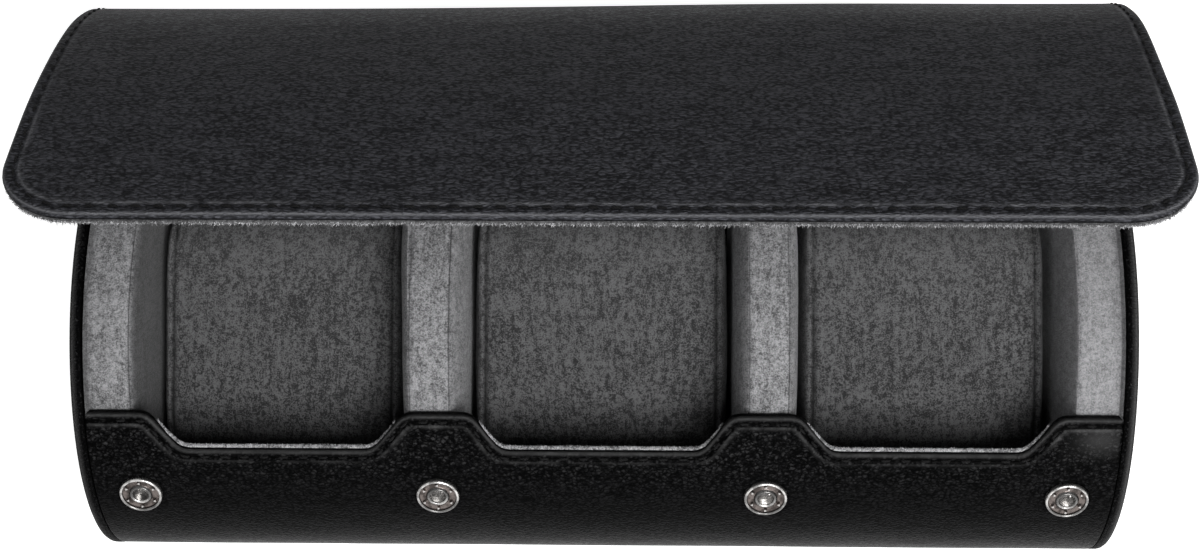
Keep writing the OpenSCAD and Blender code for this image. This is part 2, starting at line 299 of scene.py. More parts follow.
def leather_paint(
    paint, colour, stretch, gloss, space="UV", glint=0.5, coarse=1.0, rough=0.5, relief=1.0,
    glints=(0.50, 0.70), glint_heights=None,
):
    """Fine pebbled leather; stretch draws the pebbles out along the piece. Its colour carries
    painted glints on the pebbles, a painted highlight and painted shade.
    """
    settings = bpy.context.scene.roll_leather
    place = paint.place(space)
    drift = paint.node(
        "ShaderNodeTexNoise", {}, {"Vector": place, "Scale": 520.0, "Detail": 2.0}, 1
    )
    drift = paint.node("ShaderNodeVectorMath", {"operation": "SCALE"}, {0: drift, "Scale": 0.0009})
    bent = paint.node("ShaderNodeVectorMath", {"operation": "ADD"}, {0: place, 1: drift})
    bent = paint.stretched(bent, (1.0 / stretch, 1.0, 1.0))
    size = 1.0 / (settings.grain * coarse)
    pebbles = paint.cells(bent, size, "DISTANCE_TO_EDGE").over(0.0, 0.34)
    worms = paint.noise(bent, size * 1.25, 2.0, 0.55)
    fine = paint.noise(bent, size * 3.1, 2.0, 0.6)
    wrinkle = paint.noise(paint.stretched(place, (0.4, 1.0, 1.0)), 210.0, 3.0)
    grain = pebbles * 0.75 + (worms - 0.5) * 2.6 + (fine - 0.5) * 1.0 + (wrinkle - 0.5) * 0.9
    grain = (grain + 0.1).clamp()
    patches = paint.noise(place, 30.0, 3.0, 0.6).over(0.25, 0.75)
    # painted glints: the lamps' highlights painted on the pebbles' tops, only high on the wall when
    # glint_heights is given
    painted_glints = (worms * 0.75 + fine * 0.25).over(*glints) * pebbles * glint
    if glint_heights:
        height = paint.node("ShaderNodeSeparateXYZ", {}, {0: paint.place()}, "Z")
        painted_glints = painted_glints * height.over(*glint_heights)
    shade = paint.mixed(grain, toned(colour, 0.3), toned(colour, 2.6))
    # random patches of tone, then the painted glints, then a painted highlight and painted shade
    # from the marks
    for factor, tone in (
        (patches * 0.2, toned(colour, 1.25)), (painted_glints, toned(colour, 3.0, 0.03)),
        (paint.painted_shading_share(1.0) * 0.8, toned(colour, 3.0, 0.055)),
        (paint.painted_shading_share(-1.0) * 0.9, toned(colour, 0.08)),
    ):
        shade = paint.mixed(factor, shade, tone)
    paint.set(
        Base_Color=shade, Roughness=rough - grain * 0.10 + patches * 0.05, Specular_IOR_Level=gloss
    )
    paint.bump(grain, settings.grain_depth * relief)


def suede_paint(paint, colour, contrast):
    """Brushed suede with a mottled nap, seen along the opening's axis."""
    turned = paint.node(
        "ShaderNodeVectorRotate", {"rotation_type": "X_AXIS"},
        {"Vector": paint.place(), "Angle": math.radians(-OPENING_ANGLE)},
    )
    place = paint.stretched(turned, (1.0, 1.0, 0.35))
    fibre = paint.noise(place, 2600.0, 3.0, 0.8)
    tufts = paint.noise(place, 1300.0, 3.0, 0.75)
    brushed = paint.noise(paint.stretched(place, (1.0, 0.22, 1.0)), 700.0, 3.0, 0.7)
    patches = paint.noise(place, 60.0, 4.0, 0.65)
    blots = paint.noise(place, 640.0, 2.0, 0.6)
    mottle = (fibre - 0.5) * 2.4 + (tufts - 0.5) * 1.9 + (blots - 0.5) * 1.5
    mottle = mottle + (brushed - 0.5) * 1.5 + (patches - 0.5) * 0.8
    light = toned(colour, 1.75)
    shade = paint.mixed((mottle * contrast + 0.5).clamp(), toned(colour, 0.36), light)
    # painted highlight and painted shade from the marks
    shade = paint.mixed(paint.painted_shading_share(1.0) * 0.4, shade, light)
    shade = paint.mixed(paint.painted_shading_share(-1.0) * 0.85, shade, toned(colour, 0.12))
    paint.set(
        Base_Color=shade, Roughness=0.92, Specular_IOR_Level=0.12, Sheen_Weight=0.06,
        Sheen_Roughness=0.45,
    )
    paint.bump(fibre * 0.6 + tufts * 0.9 + brushed * 0.35, 0.0004, 0.9)


def nickel_paint(paint, level=(1.0, 1.0, 1.0)):
    """Polished plate with smears and fine scratches; level darkens it into a shaded copy, painted
    shade and painted dark reflection. The marks add painted shade and painted highlights.
    """
    settings = bpy.context.scene.roll_metal
    place = paint.place()
    smears = paint.noise(place, 480.0, 3.0, 0.6)
    scratches = paint.noise(paint.stretched(place, (1.0, 0.2, 3.0)), 1400.0, 2.0)
    dull = smears.over(0.42, 0.62)
    tone = tuple(c * share for c, share in zip(settings.colour, level))
    shade = paint.mixed(dull * 0.85, tone, toned(tone, 0.25))
    # painted shade and painted highlight from the marks
    shade = paint.mixed(paint.painted_shading_share(-1.0), shade, toned(tone, 0.12))
    shade = paint.mixed(paint.painted_shading_share(1.0), shade, toned(settings.colour, 1.7))
    rough = settings.roughness + dull * 0.16 + scratches * 0.08
    paint.set(Base_Color=shade, Roughness=rough, Metallic=1.0)
    paint.bump(smears * 0.6 + scratches * 0.4, 0.00003, 0.6)


def thread_paint(paint):
    twist = paint.node(
        "ShaderNodeTexWave", {"wave_type": "BANDS", "bands_direction": "DIAGONAL"},
        {"Vector": paint.place(), "Scale": 900.0, "Distortion": 1.5, "Detail": 1.0}, 1,
    )
    paint.set(
        Base_Color=paint.mixed(twist, (0.0015, 0.0015, 0.0015), (0.007, 0.007, 0.0072)),
        Roughness=0.7, Specular_IOR_Level=0.06,
    )
    paint.bump(twist, 0.00008, 0.8)


def board_paint(paint):
    place = paint.place()
    pulp = paint.noise(place, 900.0, 4.0, 0.7)
    flecks = paint.cells(place, 700.0).over(0.05, 0.25)
    shade = paint.mixed(pulp, (0.26, 0.24, 0.21), (0.42, 0.39, 0.35))
    shade = paint.mixed((1.0 - flecks) * 0.5, shade, (0.16, 0.15, 0.14))
    paint.set(Base_Color=shade, Roughness=0.9)
    paint.bump(pulp, 0.0001, 0.6)


def foam_paint(paint):
    holes = paint.cells(paint.place(), 1100.0)
    shade = paint.mixed(holes.over(0.1, 0.5), (0.08, 0.08, 0.085), (0.3, 0.3, 0.31))
    paint.set(Base_Color=shade, Roughness=0.95)
    paint.bump(holes, 0.0003, 0.8)


def finish_of(kind):
    """The material of that name, made on first use."""
    found = bpy.data.materials.get(kind)
    if found:
        return found
    scene = bpy.context.scene
    flap, wall = scene.roll_leather.flap_colour, scene.roll_leather.wall_colour
    light, dark = scene.roll_suede.light_colour, scene.roll_suede.dark_colour
    material = bpy.data.materials.new(kind)
    paint = Paint(material)
    {
        "flap_leather": lambda: leather_paint(paint, flap, 2.3, 0.025),
        "wall_leather": lambda: leather_paint(
            paint, wall, 1.3, 0.007, glint=0.57, coarse=1.2, rough=0.36, relief=0.35,
            glints=(0.44, 0.66), glint_heights=(0.042, 0.068),
        ),
        "cap_leather": lambda: leather_paint(paint, wall, 1.0, 0.008, "Object"),
        "pale_nap": lambda: suede_paint(paint, light, 0.8),
        # a lighter copy of the pale suede for cut edges, fringes and the flap's lining: painted
        # light
        "lit_pale_nap": lambda: suede_paint(paint, toned(light, 1.8), 1.2),
        "deep_nap": lambda: suede_paint(paint, dark, 1.5),
        "polished_nickel": lambda: nickel_paint(paint),
        # a darkened copy of the nickel: painted dark reflection on the sunken ring, painted shade
        # in the mouth
        "shaded_nickel": lambda: nickel_paint(paint, (0.24, 0.21, 0.2)),
        "black_thread": lambda: thread_paint(paint),
        "pulp_board": lambda: board_paint(paint),
        "cut_foam": lambda: foam_paint(paint),
    }[kind]()
    return material


# ---------------------------------------------------------------- modelling helpers


def activate(obj):
    if bpy.context.object and bpy.context.object.mode != "OBJECT":
        bpy.ops.object.mode_set(mode="OBJECT")
    bpy.ops.object.select_all(action="DESELECT")
    obj.select_set(True)
    bpy.context.view_layer.objects.active = obj


def named(name):
    """The primitive that was just added, under its name."""
    obj = bpy.context.active_object
    obj.name = obj.data.name = name
    return obj


def place_applied(obj):
    activate(obj)
    bpy.ops.object.transform_apply(location=True, rotation=True, scale=True)


def apply_modifier(obj, kind, **settings):
    modifier = obj.modifiers.new(kind.lower(), kind)
    for key, value in settings.items():
        setattr(modifier, key, value)
    bpy.ops.object.modifier_apply(modifier=modifier.name)


def editing(obj, kind="FACE", action="SELECT"):
    activate(obj)
    bpy.ops.object.mode_set(mode="EDIT")
    bpy.ops.mesh.select_mode(type=kind)
    bpy.ops.mesh.select_all(action=action)


def pick_edges(obj, test):
    """Selects the edges for which test is true, and no others."""
    mesh = bmesh.from_edit_mesh(obj.data)
    for edge in mesh.edges:
        edge.select_set(bool(test(edge)))
    mesh.select_flush_mode()
    bmesh.update_edit_mesh(obj.data)


def bevelled(offset, segments):
    bpy.ops.mesh.bevel(offset=offset * MM, segments=segments, profile=0.5, affect="EDGES")


def closed_up():
    """Turns all faces outward and leaves edit mode."""
    bpy.ops.mesh.select_all(action="SELECT")
    bpy.ops.mesh.normals_make_consistent(inside=False)
    bpy.ops.object.mode_set(mode="OBJECT")


def disc_cut(obj, height):
    """Cuts a piece flat at a height above the base and closes it."""
    editing(obj)
    bpy.ops.mesh.bisect(
        plane_co=(0, 0, height * MM), plane_no=(0, 0, 1), use_fill=True, clear_inner=True
    )
    closed_up()


def spun(name, profile, centre, axis, steps, merged):
    """Spins a closed profile of points in millimetres about an axis."""
    bpy.ops.mesh.primitive_circle_add(vertices=len(profile), radius=MM, fill_type="NOTHING")
    obj = named(name)
    for vertex, place in zip(obj.data.vertices, profile):
        vertex.co = [c * MM for c in place]
    editing(obj, "VERT")
    bpy.ops.mesh.spin(
        steps=steps, dupli=False, angle=2 * math.pi, center=[c * MM for c in centre], axis=axis
    )
    bpy.ops.mesh.select_all(action="SELECT")
    bpy.ops.mesh.remove_doubles(threshold=merged)
    closed_up()
    return obj


def disc_spun(name, side, profile, height, steps=120):
    """Spins (x, radius) about the roll's axis, and cuts the disc flat at a height."""
    places = [(side * x, 0, AXIS_Z + r) for x, r in profile]
    disc = spun(name, places, (0, 0, AXIS_Z), (1, 0, 0), steps, 0.00002)
    disc_cut(disc, height)
    return disc


def painted(obj, kinds):
    obj.data.materials.clear()
    for kind in kinds:
        obj.data.materials.append(finish_of(kind))


def done(obj, kind, body, replaced=(), smooth=40.0):
    """Smooths, paints and seats a finished piece."""
    activate(obj)
    if smooth:
        bpy.ops.object.shade_smooth_by_angle(angle=math.radians(smooth))
    painted(obj, [kind])
    if body:
        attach(obj, body)
    if replaced:
        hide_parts(*replaced)


def smooth_step(t):
    t = min(1.0, max(0.0, t))
    return t * t * (3 - 2 * t)


def mixed(a, b, t):
    return a + (b - a) * t


def bell(value, middle, width):
    return math.exp(-(((value - middle) / width) ** 2))


def spaced(low, high, step):
    count = max(1, round((high - low) / step))
    return [low + (high - low) * i / count for i in range(count + 1)]


def radial(p):
    """Distance of a point from the roll's axis."""
    return math.hypot(p.y, p.z - AXIS_Z)


def mark(obj, shares):
    """Notes painted shading on a surface: a painted highlight above 0, painted shade below 0."""
    layer = obj.data.attributes.new("rub", "FLOAT", "POINT")
    for vertex, item in zip(obj.data.vertices, layer.data):
        item.value = shares(vertex.co / MM) if callable(shares) else shares[vertex.index]


class Shell:
    """A closed mesh in the making: points and texture places in millimetres, and painted shading.
    """

    def __init__(self):
        self.points, self.uvs, self.rubs, self.faces = [], [], [], []

    def add(self, point, uv=(0, 0), rub=0.0):
        self.points.append(point)
        self.uvs.append(uv)
        self.rubs.append(rub)
        return len(self.points) - 1

    def band(self, a, b, closed=False):
        """Faces between two lines of as many vertices."""
        for j in range(len(a) - (not closed)):
            n = (j + 1) % len(a)
            self.faces.append((a[j], a[n], b[n], b[j]))

    def tube(self, loops):
        """Faces along closed loops, and over the first and the last one."""
        for a, b in zip(loops, loops[1:]):
            self.band(a, b, closed=True)
        self.faces += [tuple(loops[0]), tuple(loops[-1])]

    def built(self, name, textured=False):
        mesh = bpy.data.meshes.new(name)
        mesh.from_pydata([Vector(p) * MM for p in self.points], [], self.faces)
        obj = bpy.data.objects.new(name, mesh)
        bpy.context.scene.collection.objects.link(obj)
        if textured:
            layer = mesh.uv_layers.new(name="leather")
            for loop in mesh.loops:
                u, v = self.uvs[loop.vertex_index]
                layer.data[loop.index].uv = (u * MM, v * MM)
        work = bmesh.new()
        work.from_mesh(mesh)
        bmesh.ops.recalc_face_normals(work, faces=work.faces)
        work.to_mesh(mesh)
        work.free()
        mesh.update()
        if textured:
            mark(obj, self.rubs)
        return obj


class Path:
    """A line in Y and Z, by its length, with the outward side on its right."""

    def __init__(self, points):
        self.points = points
        self.lengths = [0.0]
        for a, b in zip(points, points[1:]):
            self.lengths.append(self.lengths[-1] + math.dist(a, b))
        self.total = self.lengths[-1]
        self.last = len(points) - 1
        self.tangents = []
        for i in range(len(points)):
            a, b = points[max(0, i - 1)], points[min(self.last, i + 1)]
            size = math.dist(a, b)
            self.tangents.append(((b[0] - a[0]) / size, (b[1] - a[1]) / size))

    def at(self, s):
        """Place and unit tangent at length s; beyond the ends the line goes on straight."""
        i = min(self.last - 1, max(0, bisect_right(self.lengths, s) - 1))
        share = (s - self.lengths[i]) / (self.lengths[i + 1] - self.lengths[i])
        held = min(1.0, max(0.0, share))
        place = [mixed(a, b, share) for a, b in zip(self.points[i], self.points[i + 1])]
        tangent = [mixed(t, u, held) for t, u in zip(self.tangents[i], self.tangents[i + 1])]
        size = math.hypot(*tangent)
        return place, (tangent[0] / size, tangent[1] / size)

    def nearest(self, point):
        return self.lengths[
            min(range(len(self.points)), key=lambda i: math.dist(self.points[i], point))
        ]


def rounded_line(points, radius, steps=6):
    """The line with each inner corner rounded."""
    made = [points[0]]
    for before, corner, after in zip(points, points[1:], points[2:]):
        corner = Vector(corner)
        a, b = Vector(before) - corner, Vector(after) - corner
        cut = min(radius, a.length / 2, b.length / 2)
        start, end = corner + a.normalized() * cut, corner + b.normalized() * cut
        for t in (k / steps for k in range(steps + 1)):
            made.append(tuple(start * (1 - t) ** 2 + corner * 2 * t * (1 - t) + end * t * t))
    made.append(points[-1])
    return made


def paced(spots, pitch):
    """Places and directions at equal steps along a line of spots."""
    made, travelled, wanted = [], 0.0, pitch / 2
    for a, b in zip(spots, spots[1:]):
        size = math.dist(a[:2], b[:2])
        while size > 1e-6 and travelled + size >= wanted:
            t = (wanted - travelled) / size
            along = ((b[0] - a[0]) / size, (b[1] - a[1]) / size)
            made.append((tuple(mixed(p, q, t) for p, q in zip(a, b)), along))
            wanted += pitch
        travelled += size
    return made


# the rings of one stitch: place along it, thickness, and height above its middle's
STITCH_RINGS = (
    (-1.0, 0.35, -1.1), (-0.72, 0.95, -0.25), (0.0, 1.0, 0.05), (0.72, 0.95, -0.25),
    (1.0, 0.35, -1.1),
)
STITCH_SIDES = 6


def stitches_on(name, stations, body):
    """Thread along stations of place, direction and outward normal, one stitch a station."""
    settings = bpy.context.scene.roll_stitching
    half = settings.pitch / MM * 0.24
    r = settings.thread / MM / 2
    shell = Shell()
    for place, along, out in stations:
        across = along.cross(out)
        rings = []
        for t, size, lift in STITCH_RINGS:
            centre = place + along * (half * t) + out * (r * lift * 0.9 + r * 0.25)
            rings.append([
                shell.add(
                    centre + across * (math.cos(a) * r * size) + out * (math.sin(a) * r * size)
                )
                for a in (2 * math.pi * k / STITCH_SIDES for k in range(STITCH_SIDES))
            ])
        for a, b in zip(rings, rings[1:]):
            shell.band(a, b, closed=True)
        shell.faces += [tuple(rings[0]), tuple(rings[-1][::-1])]
    seam = shell.built(name)
    done(seam, "black_thread", body, smooth=60.0)
    return seam


def add_fibre(shell, place, along, out, back, rng, length):
    """A thin pointed fibre that leaves a cut edge."""
    root = place + along * rng.uniform(-0.3, 0.3)
    tip = (
        root + out * length * rng.uniform(0.35, 1.0)
        + along * rng.uniform(-0.45, 0.45) * length + back * rng.uniform(-0.4, 0.4) * length
    )
    wide = rng.uniform(0.07, 0.14)
    a, b, c, d = [shell.add(p) for p in (
        root - along * wide, root + along * wide, root + back * wide * 1.5 - out * 0.05, tip
    )]
    shell.faces += [(a, b, d), (b, c, d), (c, a, d), (a, c, b)]


# ---------------------------------------------------------------- the flap's line

FACETS = 9
FLAP_T = FLAP_LEATHER_T + FLAP_BOARD_T + FLAP_LINING_T
HINGE_Y = ROLL_R + HINGE_ROLL_R + SEAT_GAP
CLOSE_R = ROLL_R + (FLAP_GAP_BACK + FLAP_GAP_FRONT) / 2
HINGE_REACH = HINGE_Y + (FLAP_GAP_FRONT - FLAP_GAP_BACK) / 2
CLOSED_LEAN = math.degrees(math.acos((CLOSE_R + FLAP_T / 2) / HINGE_REACH))
FACET_BEND = (180 - CLOSED_LEAN) / (FACETS - 1)
HALF_FACET = (CLOSE_R + FLAP_T) * math.tan(math.radians(FACET_BEND / 2))
FIRST_FACET = HINGE_REACH * math.sin(math.radians(CLOSED_LEAN)) + HALF_FACET
LAST_FACET = HALF_FACET + FLAP_OVERHANG
REST_LEAN = (-2, 6, 15, 15 + FACET_BEND, 15 + 2 * FACET_BEND, 69.5, 75.5, 83.5, 85.5)
FACET_LENGTHS = [FIRST_FACET] + [2 * HALF_FACET] * (FACETS - 2) + [LAST_FACET]


def facet_point(i, s):
    """The place at length s along a facet's outer side."""
    lean = math.radians(REST_LEAN[i])
    return (CORNERS[i][0] - s * math.sin(lean), CORNERS[i][1] + s * math.cos(lean))


FIRST_LEAN = math.radians(REST_LEAN[0])
CORNERS = [
    (HINGE_Y + FLAP_T / 2 * math.cos(FIRST_LEAN), AXIS_Z + FLAP_T / 2 * math.sin(FIRST_LEAN))
]
for facet, facet_length in enumerate(FACET_LENGTHS):
    CORNERS.append(facet_point(facet, facet_length))


def facet_middle(i):
    return facet_point(i, HALF_FACET if i else FIRST_FACET - HALF_FACET)


def flap_line():
    """The flap's outer line: up from the back of the body, round the hinge roll and over."""
    first = [
        (53.55, 40.2), (54.15, 42.6), (55.35, 45.1), (56.75, 47.3), (57.5, 49.6), (57.42, 52.6),
    ]
    straight = facet_middle(0)
    guide = [(53.0, 37.6), *first, straight]
    points = []
    for near in zip(guide, guide[1:], guide[2:], guide[3:]):
        for t in (n / 8 for n in range(8)):
            points.append(tuple(
                0.5 * (2 * b + (c - a) * t + (2 * a - 5 * b + 4 * c - d) * t * t
                       + (3 * b - a - 3 * c + d) * t ** 3)
                for a, b, c, d in zip(*near)
            ))
    start = first[-1]
    points.append(start)
    for t in (n / 6 for n in range(1, 6)):
        points.append((
            mixed(start[0], straight[0], smooth_step(t)), mixed(start[1], straight[1], t)
        ))
    for i in range(FACETS - 1):
        around = (facet_middle(i), CORNERS[i + 1], facet_middle(i + 1))
        for t in (n / 24 for n in range(24)):
            points.append(tuple(
                a * (1 - t) ** 2 + 2 * c * t * (1 - t) + b * t * t for a, c, b in zip(*around)
            ))
    return points + [facet_middle(FACETS - 1), CORNERS[FACETS]]


FLAP = Path(flap_line())
# each strip crosses one hinge, and runs from one facet's middle to another's or to an end
STRIPS = [(None, 0), (0, 1), (1, 3), (3, 5), (5, 6), (6, 7), (7, None)]
LAST_STRIP = len(STRIPS) - 1
# where each strip's turn starts and ends
BENDS = [((53.9, 46.6), (57.45, 53.6))] + [
    (facet_middle(i), facet_middle(i + 1)) for i in (0, 1, 4, 5, 6, 7)
]


def strip_span(k):
    low, high = STRIPS[k]
    start = 0.0 if low is None else FLAP.nearest(facet_middle(low))
    end = FLAP.total if high is None else FLAP.nearest(facet_middle(high))
    return start, end


STRIP_ENDS = [strip_span(k)[1] for k in range(LAST_STRIP)]


def bend_strip(obj, k):
    """Bakes a strip's transform into its mesh; the ends of its turn are worked out but not used."""
    start, end = [(0, y * MM, z * MM) for y, z in BENDS[k]]
    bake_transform(obj)
    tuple(start)
    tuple(end)


def flap_half(s):
    """Half the flap's width at length s: it narrows where it is glued to the body."""
    return mixed(WRAP_HALF - 0.2, CASE_LENGTH / 2, smooth_step((s - 7.0) / 7.0))


def flap_lift(x, s):
    """The soft bulge of the leather over the flap's steepest bend."""
    rise = smooth_step((s - 34) / 34) * (1 - smooth_step((s - 112) / 40))
    return (1.45 + 0.75 * math.sin(math.radians(max(-90, min(90, x * 1.2))))) * rise


def flap_at(x, s, depth):
    """The place at x and length s, depth inside the flap's outer line."""
    (y, z), (ty, tz) = FLAP.at(s)
    wave = 0.0
    if depth < 1.0:
        wave = 0.16 * noise.noise((x * 0.021, s * 0.034, 3.7)) * smooth_step((s - 12) / 20)
        wave += flap_lift(x, s)
    # outward is to the right of the way the line runs
    return Vector((x, y + (wave - depth) * tz, z - (wave - depth) * ty))


def flap_out(s):
    _, (ty, tz) = FLAP.at(s)
    return Vector((0, tz, -ty))


# sections through the flap's edge: distance in from the edge, and depth
LEATHER_EDGE = [
    (6.5, 0.0), (5.0, 0.0), (4.1, -0.02), (3.6, -0.04), (3.1, 0.06), (2.6, 0.26), (2.25, 0.2),
    (1.9, 0.08), (1.5, 0.02), (1.1, 0.04), (0.7, 0.16), (0.42, 0.36), (0.16, 0.7), (0.05, 1.05),
    (0.08, 1.45), (0.25, 1.82), (0.55, 2.04), (0.9, 2.08), (2.0, 2.08), (3.0, 2.08), (3.1, 1.9),
    (3.15, 1.15), (6.5, 1.15),
]
LINING_EDGE = [
    (6.5, 2.86), (3.0, 2.86), (1.2, 2.87), (0.6, 2.84), (0.2, 2.74), (-0.05, 2.58), (-0.12, 2.42),
    (0.0, 2.24), (0.25, 2.14), (0.7, 2.11), (2.0, 2.11), (6.5, 2.11),
]
LINING_DEPTH = LINING_EDGE[0][1]
SIDE_INSET = 0.8
CORNER_TURNS = 14


def uneven(x, y):
    """How strongly an edge's painted highlight shows at a place, about 1: a noise."""
    return max(0.1, 0.9 + 1.5 * noise.noise((x * 0.42, y * 0.42, 4.7)))


def flap_painted_shading(inset, depth, ripple):
    """Painted shading on the flap's edge: a painted highlight round the fold and one above the
    stitches, painted shade in the stitch groove and under the fold.
    """
    if depth > 1.1:
        return -0.9
    if inset < 0.8:
        return 1.05 * bell(depth, 0.4, 0.2)
    return 0.75 * ripple * bell(inset, 3.6, 0.4) - 0.15 * bell(inset, 2.5, 0.45)


def strip_mesh(name, k, section, step, side_inset=0.0):
    """One strip of the flap, as a closed shell whose edges follow a section."""
    start, end = strip_span(k)
    final = k == LAST_STRIP
    r = FLAP_CORNER_R
    flat = CASE_LENGTH / 2 - r
    reach = end - r if final else end
    columns = spaced(-flat, flat, 1.7 if final else 4.0)
    shell = Shell()

    def skive(s, depth):
        """Thins the first strip where it is glued to the body."""
        return depth * mixed(0.35, 1.0, smooth_step(s / 9.0)) if k == 0 else depth

    def border(x0, s0, dx, ds):
        """The section's vertices at an outline point, with the inward direction."""
        made = []
        for e, d in section:
            e += side_inset * dx * dx
            laid = e - max(0.0, d)
            made.append(shell.add(
                flap_at(x0 + dx * e, s0 + ds * e, skive(s0, d)),
                (x0 + dx * laid, s0 + ds * laid), flap_painted_shading(e, d, uneven(x0, s0)),
            ))
        return made

    def sheets(s):
        """The vertices of both sides between the borders."""
        return [
            [shell.add(flap_at(x, s, skive(s, d)), (x, s)) for x in columns]
            for d in (section[0][1], section[-1][1])
        ]

    def joined(before, after):
        """Faces between two rows, each of a left border, two sheets and a right border."""
        shell.band(before[0], after[0])
        shell.band(before[2], after[2])
        for side, j in ((0, 0), (1, -1)):
            shell.band(*([row[0][j], *row[1][side], row[2][j]] for row in (before, after)))

    spots = spaced(start, reach, step)
    left = [border(-flap_half(s), s, 1, 0) for s in spots]
    right = [border(flap_half(s), s, -1, 0) for s in spots]
    rows = list(zip(left, [sheets(s) for s in spots], right))
    for before, after in zip(rows, rows[1:]):
        joined(before, after)
    for one, (upper, lower), other in rows[:1] if final else (rows[0], rows[-1]):
        shell.faces.append(tuple(one + lower + other[::-1] + upper[::-1]))
    if not final:
        return shell.built(name, textured=True)
    last = rows[-1]
    for t in range(1, CORNER_TURNS + 1):
        a = math.radians(90 * t / CORNER_TURNS)
        dx, ds = -math.cos(a), math.sin(a)
        new_left = border(-flat + r * dx, reach + r * ds, -dx, -ds)
        new_right = border(flat - r * dx, reach + r * ds, dx, -ds)
        if t < CORNER_TURNS:
            row = (new_left, sheets(reach + (r - section[0][0]) * ds), new_right)
            joined(last, row)
            last = row
    shell.band(last[0], new_left)
    shell.band(last[2], new_right)
    front = [new_left, *(border(x, end, 0, -1) for x in columns[1:-1]), new_right]
    for a, b in zip(front, front[1:]):
        shell.band(a, b)
    for side, j in ((0, 0), (1, -1)):
        line = [f[j] for f in front]
        sheet = last[1][side]
        shell.band(sheet, line)
        shell.faces += [(last[0][j], sheet[0], line[0]), (last[2][j], line[-1], sheet[-1])]
    return shell.built(name, textured=True)


def outline_stations(inset, pitch):
    """Places and directions at equal steps along the flap's free outline.

    A place is x, s and the inward direction.
    """
    half, r, end, start, step = CASE_LENGTH / 2, FLAP_CORNER_R, FLAP.total, 16.0, 0.5
    side = range(math.ceil((end - r - start) / step))
    turn = [math.radians(1.5 * t) for t in range(1, 60)]

    def corner(a, sign):
        x = half - r + r * math.cos(a)
        return (sign * x, end - r + r * math.sin(a), -sign * math.cos(a), -math.sin(a))

    line = [(-half, start + step * n, 1, 0) for n in side]
    line += [corner(a, -1) for a in turn]
    line += [(r - half + step * n, end, 0, -1) for n in range(math.ceil(2 * (half - r) / step))]
    line += [corner(a, 1) for a in turn[::-1]]
    line += [(half, end - r - step * n, -1, 0) for n in side]
    return paced([(x + dx * inset, s + ds * inset, dx, ds) for x, s, dx, ds in line], pitch)


def by_strip(stations):
    """The stations that lie on each strip of the flap."""
    sorted_out = [[] for _ in STRIPS]
    for station in stations:
        sorted_out[bisect_right(STRIP_ENDS, station[0][1])].append(station)
    return sorted_out


class ROLL_OT_flap(bpy.types.Operator):
    """Makes the flap's leather and stitching"""

    bl_idname = "roll.flap"
    bl_label = "Flap"

    def execute(self, context):
        stitching = context.scene.roll_stitching
        for k in range(len(STRIPS)):
            skin = strip_mesh("flap_skin_%d" % (k + 1), k, LEATHER_EDGE, 1.4)
            done(skin, "flap_leather", None, ["flap_leather_%d" % (k + 1)], 50.0)
            bend_strip(skin, k)
        stations = outline_stations(stitching.inset / MM, stitching.pitch / MM)
        for k, mine in enumerate(by_strip(stations)):
            seam = []
            for (x, s, _, _), (ax, as_) in mine:
                place = flap_at(x, s, 0.1)
                ahead = flap_at(x + ax * 0.2, s + as_ * 0.2, 0.1)
                seam.append((place, (ahead - place).normalized(), flap_out(s)))
            if seam:
                bend_strip(stitches_on("flap_stitches_%d" % (k + 1), seam, None), k)
        return {"FINISHED"}


